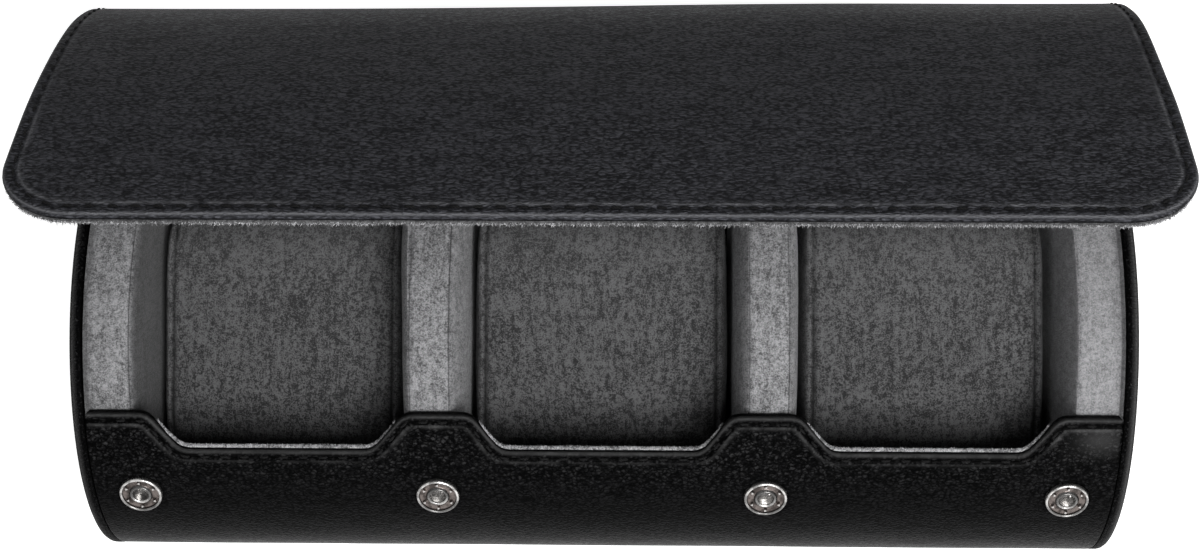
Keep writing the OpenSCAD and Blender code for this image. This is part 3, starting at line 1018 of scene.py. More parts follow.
class ROLL_OT_flap_lining(bpy.types.Operator):
    """Makes the flap's suede lining with its frayed edge"""

    bl_idname = "roll.flap_lining"
    bl_label = "Flap lining"

    def execute(self, context):
        rng = random.Random(11)
        length = context.scene.roll_suede.fuzz / MM
        for k, edge in enumerate(by_strip(outline_stations(0.0, 0.16))):
            if k == 0:
                lining = self.hinge_lining()
            else:
                lining = strip_mesh("flap_suede_%d" % (k + 1), k, LINING_EDGE, 2.0, SIDE_INSET)
            if k == LAST_STRIP:
                self.cut_pockets(lining)
            # the lining and its fringe take the lighter copy of the pale suede, painted light
            done(lining, "lit_pale_nap", None, ["flap_lining_%d" % (k + 1)], 50.0)
            bend_strip(lining, k)
            if edge:
                fringe = self.fringe(edge, rng, length).built("flap_fringe_%d" % (k + 1))
                done(fringe, "lit_pale_nap", None, smooth=0)
                bend_strip(fringe, k)
        return {"FINISHED"}

    def fringe(self, edge, rng, length):
        """Fibres that stand out of the lining's cut edge."""
        shell = Shell()
        for (x, s, dx, ds), (ax, as_) in edge:
            depth = rng.uniform(2.2, 2.8)
            back = SIDE_INSET * dx * dx
            x, s = x + dx * back, s + ds * back
            place = flap_at(x - dx * 0.02, s - ds * 0.02, depth)
            along = (flap_at(x + ax * 0.2, s + as_ * 0.2, depth) - place).normalized()
            _, (ty, tz) = FLAP.at(s)
            out = Vector((-dx, -ds * ty, -ds * tz)).normalized()
            add_fibre(shell, place, along, out, Vector((0, tz, -ty)), rng, length)
        return shell

    def hinge_lining(self):
        """The suede that goes on from the body's back over the hinge to the flap."""
        y, z = facet_middle(0)
        inner = y - LINING_DEPTH
        corners = [
            (50.0, 46.4), (50.35, 48.9), (53.0, 49.6), (54.0, 51.6), (inner - 0.02, 54.6),
            (inner, z),
        ]
        line = Path(rounded_line(corners, 1.6, 4))
        shell = Shell()
        sheets = []
        for side in (0, 1):
            sheet = []
            for s in spaced(0, line.total, 0.8):
                (py, pz), (ty, tz) = line.at(s)
                half = mixed(WRAP_HALF - 0.6, CASE_LENGTH / 2 - 0.1, smooth_step((s - 3.0) / 3.5))
                off = mixed(0.5, 0.75, smooth_step(s / line.total)) * side
                sheet.append([
                    shell.add((c * half, py + off * tz, pz - off * ty)) for c in spaced(-1, 1, 0.04)
                ])
            sheets.append(sheet)
        for sheet in sheets:
            for a, b in zip(sheet, sheet[1:]):
                shell.band(a, b)
        shell.band(*(
            [row[0] for row in sheet] + sheet[-1][1:] + [row[-1] for row in sheet[-2::-1]]
            + sheet[0][-2:0:-1] for sheet in sheets
        ), closed=True)
        return shell.built("flap_suede_1")

    def cut_pockets(self, lining):
        """Presses a round seat for each snap into the lining."""
        s = FLAP.nearest(facet_middle(FACETS - 1))
        (y, z), _ = FLAP.at(s)
        out = flap_out(s)
        turn = out.to_track_quat("Z", "Y").to_matrix().to_4x4()
        for x in SNAP_X:
            bpy.ops.mesh.primitive_cylinder_add(vertices=48, radius=5.8 * MM, depth=2 * MM)
            cutter = named("seat_cutter")
            middle = (Vector((x, y, z)) - out * (2.13 + 1.0)) * MM
            cutter.data.transform(Matrix.Translation(middle) @ turn)
            activate(lining)
            apply_modifier(lining, "BOOLEAN", operation="DIFFERENCE", solver="EXACT", object=cutter)
            bpy.data.objects.remove(cutter)


# ---------------------------------------------------------------- the wrap


def wrap_line():
    """The wrap's outer line from the top of the front, down, under and up the back."""
    base = math.degrees(math.asin(AXIS_Z / ROLL_R))
    flat = ROLL_R * math.cos(math.radians(base))

    def arc(side, start, end):
        return [
            (side * ROLL_R * math.cos(a), AXIS_Z + ROLL_R * math.sin(a))
            for a in (math.radians(mixed(start, end, i / 120)) for i in range(121))
        ]

    points = arc(-1, CREST_ANGLE + 1, -base)
    points += [(mixed(-flat, flat, i / 40), 0.0) for i in range(1, 40)]
    points += arc(1, -base, -BACK_EDGE_ANGLE)
    for _ in range(14):
        smooth = list(points)
        for i in range(1, len(points) - 1):
            if points[i][1] < 3.0:
                smooth[i] = tuple(
                    mixed(p, (before + after) / 2, 0.5)
                    for before, p, after in zip(*points[i - 1:i + 2])
                )
        points = smooth
    return [(y, max(z, 0.0)) for y, z in points]


WRAP = Path(wrap_line())
ZERO_S = WRAP.nearest((-ROLL_R, AXIS_Z))
BACK_H = ZERO_S - WRAP.total
EDGE_DROP = 1.4
HIGH = math.radians(CREST_ANGLE) * ROLL_R - EDGE_DROP
LOW = math.radians(DIP_ANGLE) * ROLL_R - EDGE_DROP
# the front wall's top edge: x, and height above the axis' level along the wall
HALF_EDGE = [
    (0, LOW), (23.8, LOW), (30.7, HIGH), (46.6, HIGH), (54.4, LOW), (99.9, LOW), (107.4, HIGH),
    (WRAP_HALF, HIGH),
]
SCALLOP = rounded_line([(-x, h) for x, h in reversed(HALF_EDGE[1:])] + HALF_EDGE, 2.2)
COVER_LOW, COVER_HIGH = 2.2, 3.6


def edge_height(x):
    for a, b in zip(SCALLOP, SCALLOP[1:]):
        if a[0] <= x <= b[0]:
            return a[1] if b[0] == a[0] else mixed(a[1], b[1], (x - a[0]) / (b[0] - a[0]))
    return SCALLOP[-1][1]


def edge_share(x):
    """0 where the wall's edge is low and 1 at its crests."""
    return (edge_height(x) - LOW) / (HIGH - LOW)


def edge_distance(x, h):
    """Distance of a point of the wall from its scalloped edge."""
    best = 99.0
    for a, b in zip(SCALLOP, SCALLOP[1:]):
        if b[0] < x - 9 or a[0] > x + 9:
            continue
        dx, dh = b[0] - a[0], b[1] - a[1]
        size = dx * dx + dh * dh
        t = min(1.0, max(0.0, ((x - a[0]) * dx + (h - a[1]) * dh) / size)) if size else 0
        best = min(best, math.hypot(x - a[0] - t * dx, h - a[1] - t * dh))
    return best


def edge_cover(x):
    """How far the leather is turned in over the wall's edge: wholly at the crests."""
    return mixed(COVER_LOW, COVER_HIGH, smooth_step(edge_share(x) * 1.6 - 0.6))


def wrap_at(x, h, depth):
    """The place at x and height h along the wall, depth inside the wrap's outer line."""
    (y, z), (ty, tz) = WRAP.at(ZERO_S - h)
    return Vector((x, y - depth * tz, z + depth * ty))


def rounded_off(distance, r):
    """How far a surface falls away near its edge, where it is rounded by r."""
    return r - math.sqrt(max(0.0, r ** 2 - (r - distance) ** 2)) if distance < r else 0.0


class ROLL_OT_wrap(bpy.types.Operator):
    """Makes the leather round the body, with its scalloped front edge and its stitches"""

    bl_idname = "roll.wrap"
    bl_label = "Wrap"

    # distances below the edge at which the wall has vertices
    below = (
        0, 0.08, 0.2, 0.4, 0.65, 0.95, 1.25, 1.55, 1.8, 2.0, 2.2, 2.4, 2.65, 2.95, 3.35, 3.9,
        4.7, 5.7,
    )
    even_h = 8.0  # the wall's vertices lie level from this height down
    inner_from = 7  # the inner side's vertices start at this one of the outer side's

    def execute(self, context):
        inset = context.scene.roll_stitching.wall_inset / MM
        shell = Shell()
        xs = [WRAP_HALF - e for e in (0.0, 0.05, 0.16, 0.34, 0.6, 1.0, 1.6)]
        columns = sorted([-x for x in xs] + xs + spaced(-WRAP_HALF + 2.7, WRAP_HALF - 2.7, 1.1))
        heights = [self.heights(x) for x in columns]
        outer = [[self.outside(shell, x, h, inset) for h in hs] for x, hs in zip(columns, heights)]
        inner = [self.inside(shell, x, hs) for x, hs in zip(columns, heights)]
        for i in range(len(columns) - 1):
            for lines in (outer, inner):
                shell.band(lines[i], lines[i + 1])
            for j in (0, -1):
                shell.faces.append((outer[i][j], outer[i + 1][j], inner[i + 1][j], inner[i][j]))
        for i in (0, -1):
            shell.faces.append(tuple(outer[i] + inner[i][::-1]))
        skin = shell.built("wrap_skin", textured=True)
        done(skin, "wall_leather", "case", ["wrap_leather"], 50.0)
        self.board()
        self.stitches(context)
        return {"FINISHED"}

    def heights(self, x):
        """The heights of a column's vertices, from the edge to the back."""
        top = edge_height(x)
        start = max(self.even_h, top - self.below[-1])
        return (
            [top - b for b in self.below] + [mixed(start, self.even_h, i / 4) for i in (1, 2, 3)]
            + [self.even_h - i for i in range(17)] + [-h for h in spaced(8, -BACK_H, 2.6)][1:]
        )

    def outside(self, shell, x, h, inset):
        """A vertex of the outer side: the fold, the seam, the dents of the snaps, and painted
        highlights and shade.
        """
        away = edge_distance(x, h) if h > 4 else 99.0
        side = WRAP_HALF - abs(x)
        ring = min(math.hypot(x - sx, h) for sx in SNAP_X) - SOCKET_D / 2
        depth = rounded_off(side, 0.45) + rounded_off(away, 0.8)
        depth += 0.34 * bell(away, inset, 0.32) - 0.10 * bell(away, inset * 0.5, 0.45)
        depth -= 0.05 * bell(away, inset + 0.9, 0.4)
        if ring < 6:
            depth += 0.3 * math.exp(-max(0.0, ring) / 0.8) + smooth_step((-0.4 - ring) / 0.8)
        if h < 30:
            depth -= 0.1 * noise.noise((x * 0.03, h * 0.05, 1.3))
        high = smooth_step(edge_share(x))
        # painted highlights along the fold at the edge, below the stitches and near the crest at
        # the right end; painted shade in the stitch groove, at the join with the caps and round the
        # snaps. worn is noise that makes the highlights uneven
        worn = uneven(x, h)
        rub = mixed(0.72, 1.1, high) * mixed(1.0, worn, 0.35) * bell(away, 0.05, 0.28)
        rub += mixed(0.16, 0.42, high) * worn * bell(away, inset + 1.05, 0.45)
        rub += 0.4 * bell(x, 117.0, 5.0) * bell(away, 5.0, 3.5)
        rub -= bell(away, inset, 0.42) + 0.8 * bell(side, 0.0, 0.35)
        rub -= 0.7 * bell(max(ring, 0.3), 0.3, 0.5)
        return shell.add(wrap_at(x, h, depth), (x, h), rub)

    def inside(self, shell, x, heights):
        """A column of the inner side, from the leather that is turned in over the edge."""
        cover = edge_cover(x)
        top = heights[0]
        # the turned fold gets a painted highlight, and the inner side under it painted shade
        line = [
            shell.add(wrap_at(x, top - b, d), (x, top + d), rub) for b, d, rub in (
                (0.0, 0.8, 1.0), (0.0, mixed(0.8, cover, 0.5), -0.1), (0.02, cover - 0.25, -0.9),
                (0.15, cover - 0.06, -1.0), (0.4, cover, -1.0), (1.2, cover, -1.0),
            )
        ]
        for h in heights[self.inner_from:]:
            depth = mixed(cover, LEATHER_T - 0.05, smooth_step((top - h - 1.5) / 1.0))
            line.append(shell.add(wrap_at(x, h, depth), (x, h)))
        return line

    def board(self):
        """The board between the leather and the lining, clear of the wall's edge."""
        shell = Shell()
        loops = []
        for x in spaced(-WRAP_HALF + 0.4, WRAP_HALF - 0.4, 2.0):
            top = edge_height(x) - 1.3
            hs = [mixed(top, BACK_H + 0.3, i / 90) for i in range(91)]
            loops.append([
                shell.add(wrap_at(x, h, depth))
                for depth, run in (
                    (LEATHER_T + 0.02, hs), (LEATHER_T + BOARD_T - 0.02, hs[::-1])
                ) for h in run
            ])
        shell.tube(loops)
        done(shell.built("wrap_stiffener"), "pulp_board", "case", ["wrap_board"], 50.0)

    def stitches(self, context):
        settings = context.scene.roll_stitching
        inset, pitch = settings.wall_inset / MM, settings.pitch / MM
        line = []
        for a, b in zip(SCALLOP, SCALLOP[1:]):
            size = math.dist(a, b)
            if size < 1e-6:
                continue
            nx, nh = (b[1] - a[1]) / size, -(b[0] - a[0]) / size
            for t in (0.0, 0.5, 1.0):
                p = (mixed(a[0], b[0], t) + nx * inset, mixed(a[1], b[1], t) + nh * inset)
                if edge_distance(*p) > inset - 0.12 and abs(p[0]) < WRAP_HALF - 2.5:
                    line.append(p)
        stations = []
        for (x, h), (dx, dh) in paced(sorted(line), pitch):
            place = wrap_at(x, h, 0.12)
            along = wrap_at(x + dx * 0.2, h + dh * 0.2, 0.12) - place
            out = wrap_at(x, h, -1) - wrap_at(x, h, 0)
            stations.append((place, along.normalized(), out.normalized()))
        stitches_on("wrap_stitches", stations, "case")


class ROLL_OT_wrap_lining(bpy.types.Operator):
    """Makes the suede inside the body, turned up over the front wall's edge"""

    bl_idname = "roll.wrap_lining"
    bl_label = "Wrap lining"

    outer_d = LEATHER_T + BOARD_T + 0.04
    inner_d = LEATHER_T + BOARD_T + LINING_T + 0.06
    lit_rows = 6

    def execute(self, context):
        shell = Shell()
        loops = [
            [shell.add(wrap_at(x, h, d)) for h, d in self.section(x)]
            for x in spaced(-WRAP_HALF + 0.15, WRAP_HALF - 0.15, 1.6)
        ]
        shell.tube(loops)
        lining = shell.built("wrap_suede")
        done(lining, "deep_nap", "case", ["wrap_lining"], 50.0)
        # the edge rows take the lighter copy of the pale suede, painted light; the rest keeps the
        # deep nap
        lining.data.materials.append(finish_of("lit_pale_nap"))
        for face in lining.data.polygons:
            if all(v % len(loops[0]) < self.lit_rows for v in face.vertices):
                face.material_index = 1
        length = context.scene.roll_suede.fuzz / MM * 0.8
        fringe = self.fringe(random.Random(5), length).built("wrap_fringe")
        # the fringe takes the lighter copy of the pale suede, painted light
        done(fringe, "lit_pale_nap", "case", smooth=0)
        return {"FINISHED"}

    def section(self, x):
        """The lining's outline at x, as heights and depths: its edge first, then its sides."""
        top, cover, low_d = edge_height(x), edge_cover(x), self.inner_d
        sink = mixed(0.0, 0.9, (cover - COVER_LOW) / (COVER_HIGH - COVER_LOW))
        outer = min(cover + 0.03, 3.4)
        crown = -0.12 + sink
        edge = [
            (1.4, self.outer_d), (1.3, outer), (0.6 + sink, outer), (0.1 + sink, outer + 0.05),
            (crown, outer + 0.35), (crown - 0.05, mixed(outer, low_d, 0.6)),
            (crown + 0.05, low_d - 0.25), (0.35 + sink, low_d), (1.6 + sink, low_d),
        ]
        down = [mixed(top - 1.6 - sink, BACK_H, t) for t in spaced(0, 1, 0.012)]
        return (
            [(top - v, d) for v, d in edge] + [(h, low_d) for h in down[1:]]
            + [(h, self.outer_d) for h in down[::-1]]
        )

    def fringe(self, rng, length):
        """Fibres along the edge, except at the crests, where leather covers it."""
        shell = Shell()
        for _ in range(3600):
            x = rng.uniform(-WRAP_HALF + 1, WRAP_HALF - 1)
            cover = edge_cover(x)
            if cover > 3.0:
                continue
            top = edge_height(x)
            d = rng.uniform(cover + 0.1, mixed(cover, self.inner_d, 0.6))
            place = wrap_at(x, top + 0.02, d)
            along = wrap_at(x + 0.2, edge_height(x + 0.2) + 0.02, d) - place
            up = wrap_at(x, top + 1, d) - wrap_at(x, top, d)
            inward = wrap_at(x, top, d + 1) - wrap_at(x, top, d)
            add_fibre(
                shell, place, along.normalized(), up.normalized(), inward.normalized(), rng, length
            )
        return shell


# ---------------------------------------------------------------- ends, dividers, floor


class ROLL_OT_end_caps(bpy.types.Operator):
    """Makes the round leather ends with their turned rims"""

    bl_idname = "roll.end_caps"
    bl_label = "End caps"

    # the section: distance in from the end's face or from the wrap, and below the rim
    from_wrap = ((0.02, None), (0.02, 0.45), (0.12, 0.15), (0.4, 0.0))
    from_face = (
        (1.25, 0.0), (0.8, 0.08), (0.35, 0.4), (0.08, 0.9), (0.0, 1.5), (0.02, 2.3), (0.22, 2.75),
        (0.28, 3.0), (0.2, 3.25), (0.04, 3.8), (0.02, 5.0), (0.0, None),
    )
    seam_inset = 3.0
    shine = {-1: 0.6, 1: 0.9}

    def execute(self, context):
        a, b = WRAP_HALF, CASE_LENGTH / 2
        profile = [(a + x, d) for x, d in self.from_wrap] + [(b - x, d) for x, d in self.from_face]
        profile = [(x, 0.0 if d is None else ROLL_R - d) for x, d in profile]
        for side, name in ENDS:
            cap = disc_spun("end_cap_skin_" + name, side, profile, 0.0, 160)

            # painted highlights on the rim's rounded outer edge and round the face, painted shade
            # at the join with the wrap and along the seam
            def painted_light_and_shade(p):
                r, x = radial(p), abs(p.x)
                if r > ROLL_R - 0.7:
                    return self.shine[side] * bell(b - x, 0.75, 0.5) - bell(x, a + 0.05, 0.3)
                return bell(r, ROLL_R - 1.2, 0.6) * 0.7 - bell(r, ROLL_R - self.seam_inset, 0.3)

            mark(cap, painted_light_and_shade)
            done(cap, "cap_leather", "case", ["end_cap_" + name])
            r = ROLL_R - self.seam_inset
            low = math.asin((AXIS_Z - 3.0) / r)
            sweep = math.pi + 2 * low
            count = int(sweep * r / (context.scene.roll_stitching.pitch / MM))
            stations = []
            for turn in (-low + sweep * (n + 0.5) / count for n in range(count)):
                c, s = math.cos(turn), math.sin(turn)
                place = Vector((side * (b - 0.26), r * c, AXIS_Z + r * s))
                stations.append((place, Vector((0, -s, c)), Vector((side, 0, 0))))
            stitches_on("end_stitches_" + name, stations, "case")
        return {"FINISHED"}


def rim_profile(face, full):
    """Half of the section through a padded rim, from its widest part to its middle."""
    return [
        (full, 0.0), (full, FILL_R - RIM_TAPER - 2.5), (full - 0.1, FILL_R - RIM_TAPER + 1.0),
        (mixed(face, full, 0.82), FILL_R - 10.5), (mixed(face, full, 0.6), FILL_R - 5.6),
        (mixed(face, full, 0.38), FILL_R - 2.5), (face + 0.42, FILL_R - 0.85),
        (face + 0.2, FILL_R - 0.42), (face - 0.02, FILL_R - 0.62), (face - 0.24, FILL_R - 0.42),
        (face - 0.55, FILL_R - 0.14), (face - 1.4, FILL_R), (1.5, FILL_R),
    ]


# where the dividers' rims lie, and how far rims and end pads reach from their middles
RIM_X = {-1: 40.75, 1: 39.5}
RIM_FACE = 4.7
RIM_HALF = 7.75
PAD_FULL = 11.5
# the lip of an end pad that is turned up at the cap: distance from the cap, and radius
PAD_LIP = (
    (2.2, FILL_R), (1.2, FILL_R + 0.35), (0.5, FILL_R + 0.9), (0.12, ROLL_R - 0.75),
    (0.0, ROLL_R - 1.1), (0.0, 0.0),
)


class ROLL_OT_dividers(bpy.types.Operator):
    """Makes the suede dividers between the watches and the pads at both ends"""

    bl_idname = "roll.dividers"
    bl_label = "Dividers"

    def execute(self, context):
        half = rim_profile(RIM_FACE, RIM_HALF)
        profile = half + [(-x, r) for x, r in reversed(half)]
        pad_profile = [
            (PAD_START - x, r) for x, r in rim_profile(END_PAD_FACE, PAD_FULL) + list(PAD_LIP)
        ]
        for side, name in ENDS:
            part = disc_spun(
                "divider_suede_" + name, side, [(RIM_X[side] + side * x, r) for x, r in profile],
                BASE_FILL,
            )
            self.worn(part, side)
            self.flared(part, side)
            # the divider's slopes painted a little lighter
            self.shaded(part, side * RIM_X[side], RIM_FACE, -0.3)
            done(
                part, "pale_nap", "case",
                ["divider_" + name, "divider_core_" + name], 35.0,
            )
            pad = disc_spun("end_pad_suede_" + name, side, pad_profile, BASE_FILL)
            self.worn(pad, side + 3)
            # left pad: painted shade on its slopes and a painted shadow at its lip; right pad:
            # painted light on its face and slopes
            level, flat, lip_shadow = (0.95, 0.0, 0.7) if side < 0 else (-0.9, 0.7, 0.0)
            self.shaded(pad, side * PAD_START, END_PAD_FACE, level, flat, lip_shadow)
            done(pad, "pale_nap", "case", ["end_pad_" + name], 35.0)
        return {"FINISHED"}

    def flared(self, obj, side):
        """Widens the outer side a little towards the back, where the nap is pushed over."""
        widening = 1.3 if side < 0 else 0.5
        for vertex in obj.data.vertices:
            p = vertex.co / MM
            back = (p.y + p.z - AXIS_Z) * OPENING_SHARE
            share = (p.x * side - RIM_X[side]) / RIM_HALF
            if share > 0:
                vertex.co.x += side * share * widening * smooth_step(back / 30) * MM

    def shaded(self, obj, middle, face, level, flat=0.0, lip_shadow=0.0):
        """Paints light and shade on a rim: its sloping sides darker by level, lighter where level
        is below 0, its face lighter by flat, painted shade in the crease and a painted shadow at
        the lip.
        """

        def share(p):
            edge = abs(p.x - middle) - face
            crease = bell(edge, -0.02, 0.13) if radial(p) > FILL_R - 0.8 else 0.0
            slope = smooth_step((edge - 0.25) / 0.5)
            return mixed(flat, -level, slope) - crease * 0.8 - lip_shadow * bell(p.x, middle, 1.2)

        mark(obj, share)

    def worn(self, obj, seed):
        """Softens the pad by hand, within the height of its nap."""
        for vertex in obj.data.vertices:
            p = vertex.co / MM
            out = Vector((0, p.y, p.z - AXIS_Z))
            if out.length < 20 or p.z < 6:
                continue
            amount = 0.16 * noise.noise((p.x * 0.22 + seed, p.y * 0.09, p.z * 0.09)) - 0.1
            vertex.co += out.normalized() * amount * MM


class ROLL_OT_floor(bpy.types.Operator):
    """Makes the padded floor behind each cushion"""

    bl_idname = "roll.floor"
    bl_label = "Floor pads"

    def execute(self, context):
        c = OPENING_SHARE
        for name, (low, high) in CELLS.items():
            bpy.ops.mesh.primitive_cylinder_add(
                vertices=96, radius=(FILL_R - 0.05) * MM, depth=(high - low - 2 * SOFT_GAP) * MM,
                rotation=(0, math.radians(90), 0), location=((low + high) / 2 * MM, 0, AXIS_Z * MM),
            )
            pad = named("floor_suede_" + name)
            place_applied(pad)
            disc_cut(pad, BASE_FILL)
            editing(pad)
            bpy.ops.mesh.bisect(
                plane_co=(0, FLOOR_DEPTH * c * MM, (AXIS_Z - FLOOR_DEPTH * c) * MM),
                plane_no=(0, c, -c), use_fill=True, clear_inner=True,
            )
            closed_up()
            editing(pad, "EDGE", "DESELECT")
            pick_edges(pad, lambda e: len(e.link_faces) == 2 and e.calc_face_angle(0) > 0.6)
            bevelled(1.4, 4)
            bpy.ops.object.mode_set(mode="OBJECT")
            done(pad, "deep_nap", "case", ["floor_pad_" + name])
        return {"FINISHED"}


# ---------------------------------------------------------------- cushions


class ROLL_OT_cushions(bpy.types.Operator):
    """Fills and sews the three cushions that the watches are strapped round"""

    bl_idname = "roll.cushions"
    bl_label = "Cushions"

    # what the block leaves for its swelling, its bevels' sizes and segments, and its grid
    slack = (1.6, 2.4, 3.0)
    long_edge = (14, 8)
    side_edge = (2.2, 3)
    voxel = 2.2
    # distances of the seam's groove and ridge from the cushion's side
    groove, ridge = 3.1, 1.7

    def execute(self, context):
        outer = PAD_START - PAD_FULL - 0.7
        left_span = (-outer, -RIM_X[-1] - RIM_HALF - 0.7)
        middle_span = (-RIM_X[-1] + RIM_HALF + 0.8, RIM_X[1] - RIM_HALF - 0.8)
        right_span = (RIM_X[1] + RIM_HALF + 0.7, outer)
        left = self.filled(context, "cushion_suede_left", left_span)
        middle = self.filled(context, "cushion_suede_middle", middle_span)
        right = left.copy()
        right.data = left.data.copy()
        right.name = right.data.name = "cushion_suede_right"
        context.scene.collection.objects.link(right)
        shift = sum(right_span) / 2 - sum(left_span) / 2
        right.data.transform(Matrix.Translation((shift * MM, 0, 0)))
        for name, obj in (("left", left), ("middle", middle), ("right", right)):
            replaced = ["cushion_" + name, "cushion_core_" + name]
            done(obj, "deep_nap", "cushion_" + name, replaced, 0)
            bpy.ops.object.shade_smooth()
        return {"FINISHED"}

    def filled(self, context, name, cell):
        """A cushion that fills its cell, from a rounded block that is blown up by pressure."""
        full = (cell[1] - cell[0], CUSHION_T, CUSHION_H)
        size = Vector([length - spare for length, spare in zip(full, self.slack)]) * MM
        bpy.ops.mesh.primitive_cube_add(size=1, location=(0, 0, 0))
        obj = named(name)
        obj.scale = size
        place_applied(obj)
        editing(obj, "EDGE", "DESELECT")
        pick_edges(obj, lambda e: abs(e.verts[0].co.x - e.verts[1].co.x) > 0.01)
        bevelled(*self.long_edge)
        pick_edges(obj, lambda e: (
            len(e.link_faces) == 2 and abs(e.verts[0].co.x - e.verts[1].co.x) < 1e-5
            and abs(abs(e.verts[0].co.x) - size.x / 2) < 1e-5
        ))
        bevelled(*self.side_edge)
        bpy.ops.object.mode_set(mode="OBJECT")
        obj.data.remesh_voxel_size = self.voxel * MM
        bpy.ops.object.voxel_remesh()
        rest = [v.co.copy() for v in obj.data.vertices]
        self.simulate(context, obj)
        self.held(obj, rest, Vector(full) / 2 * MM)
        apply_modifier(obj, "SMOOTH", factor=0.5, iterations=2)
        apply_modifier(obj, "SUBSURF", levels=2, render_levels=2)
        self.sewn(obj, full[0] / 2)
        # the cushion's front faces the opening; its middle lies on the opening's axis
        turn = Matrix.Rotation(math.radians(-OPENING_ANGLE), 4, "X")
        away = CUSHION_MIDDLE * OPENING_SHARE
        middle = Vector(((cell[0] + cell[1]) / 2, -away, AXIS_Z + away)) * MM
        obj.data.transform(Matrix.Translation(middle) @ turn)
        return obj

    def simulate(self, context, obj):
        settings = context.scene.roll_cushions
        activate(obj)
        cloth = obj.modifiers.new("cover", "CLOTH")
        for key, value in (
            ("quality", 5), ("mass", 0.3), ("tension_stiffness", 40),
            ("compression_stiffness", 40), ("bending_stiffness", 2.0), ("use_pressure", True),
            ("uniform_pressure_force", settings.pressure),
        ):
            setattr(cloth.settings, key, value)
        cloth.settings.effector_weights.gravity = 0
        cloth.point_cache.frame_start, cloth.point_cache.frame_end = 1, settings.frames
        for number in range(1, settings.frames + 1):
            context.scene.frame_set(number)
        bpy.ops.object.modifier_apply(modifier=cloth.name)
        context.scene.frame_set(1)

    def held(self, obj, rest, half):
        """Keeps each point near its place at rest, and inside the cell."""
        limit = bpy.context.scene.roll_cushions.swell
        for vertex, start in zip(obj.data.vertices, rest):
            step = vertex.co - start
            if step.length > limit:
                step *= limit / step.length
            vertex.co = [min(h, max(-h, c)) for c, h in zip(start + step, half)]
        activate(obj)

    def sewn(self, obj, half):
        """Draws the side seams in and leaves their ridges."""

        def painted_light_and_shade(p):
            side = half - abs(p.x)
            seam = 0.35 * bell(side, self.ridge, 0.6) - 0.9 * bell(side, self.groove, 0.45)
            return seam - 0.5 * smooth_step(1.2 - side) + 0.8 * p.z / CUSHION_H

        # painted highlight on the seam's ridge, painted shade in its groove and at the sides, and
        # painted light that makes the top lighter and the bottom darker
        mark(obj, painted_light_and_shade)
        for vertex in obj.data.vertices:
            p = vertex.co / MM
            if math.hypot(p.y, p.z) < 12:
                continue
            side = half - abs(p.x)
            pucker = 0.5 + 0.5 * math.sin(math.atan2(p.z, p.y) * 46)
            draw = 0.35 * bell(side, self.ridge, 0.8)
            draw -= (0.95 + 0.2 * pucker) * bell(side, self.groove, 0.5)
            vertex.co += Vector((0, p.y, p.z)).normalized() * draw * MM
            dent = 0.22 * noise.noise((p.x * 0.05, p.y * 0.06, p.z * 0.05))
            vertex.co += vertex.co.normalized() * dent * MM


# ---------------------------------------------------------------- snaps

SNAP_TILT = 7.5
SNAP_UP = 0.45
SNAP_R = SOCKET_D / 2 + 0.2
SNAP_RISE = SOCKET_RISE - 0.1
MOUTH_R = 1.84
RING_R = 2.72
TAB_R = 3.7


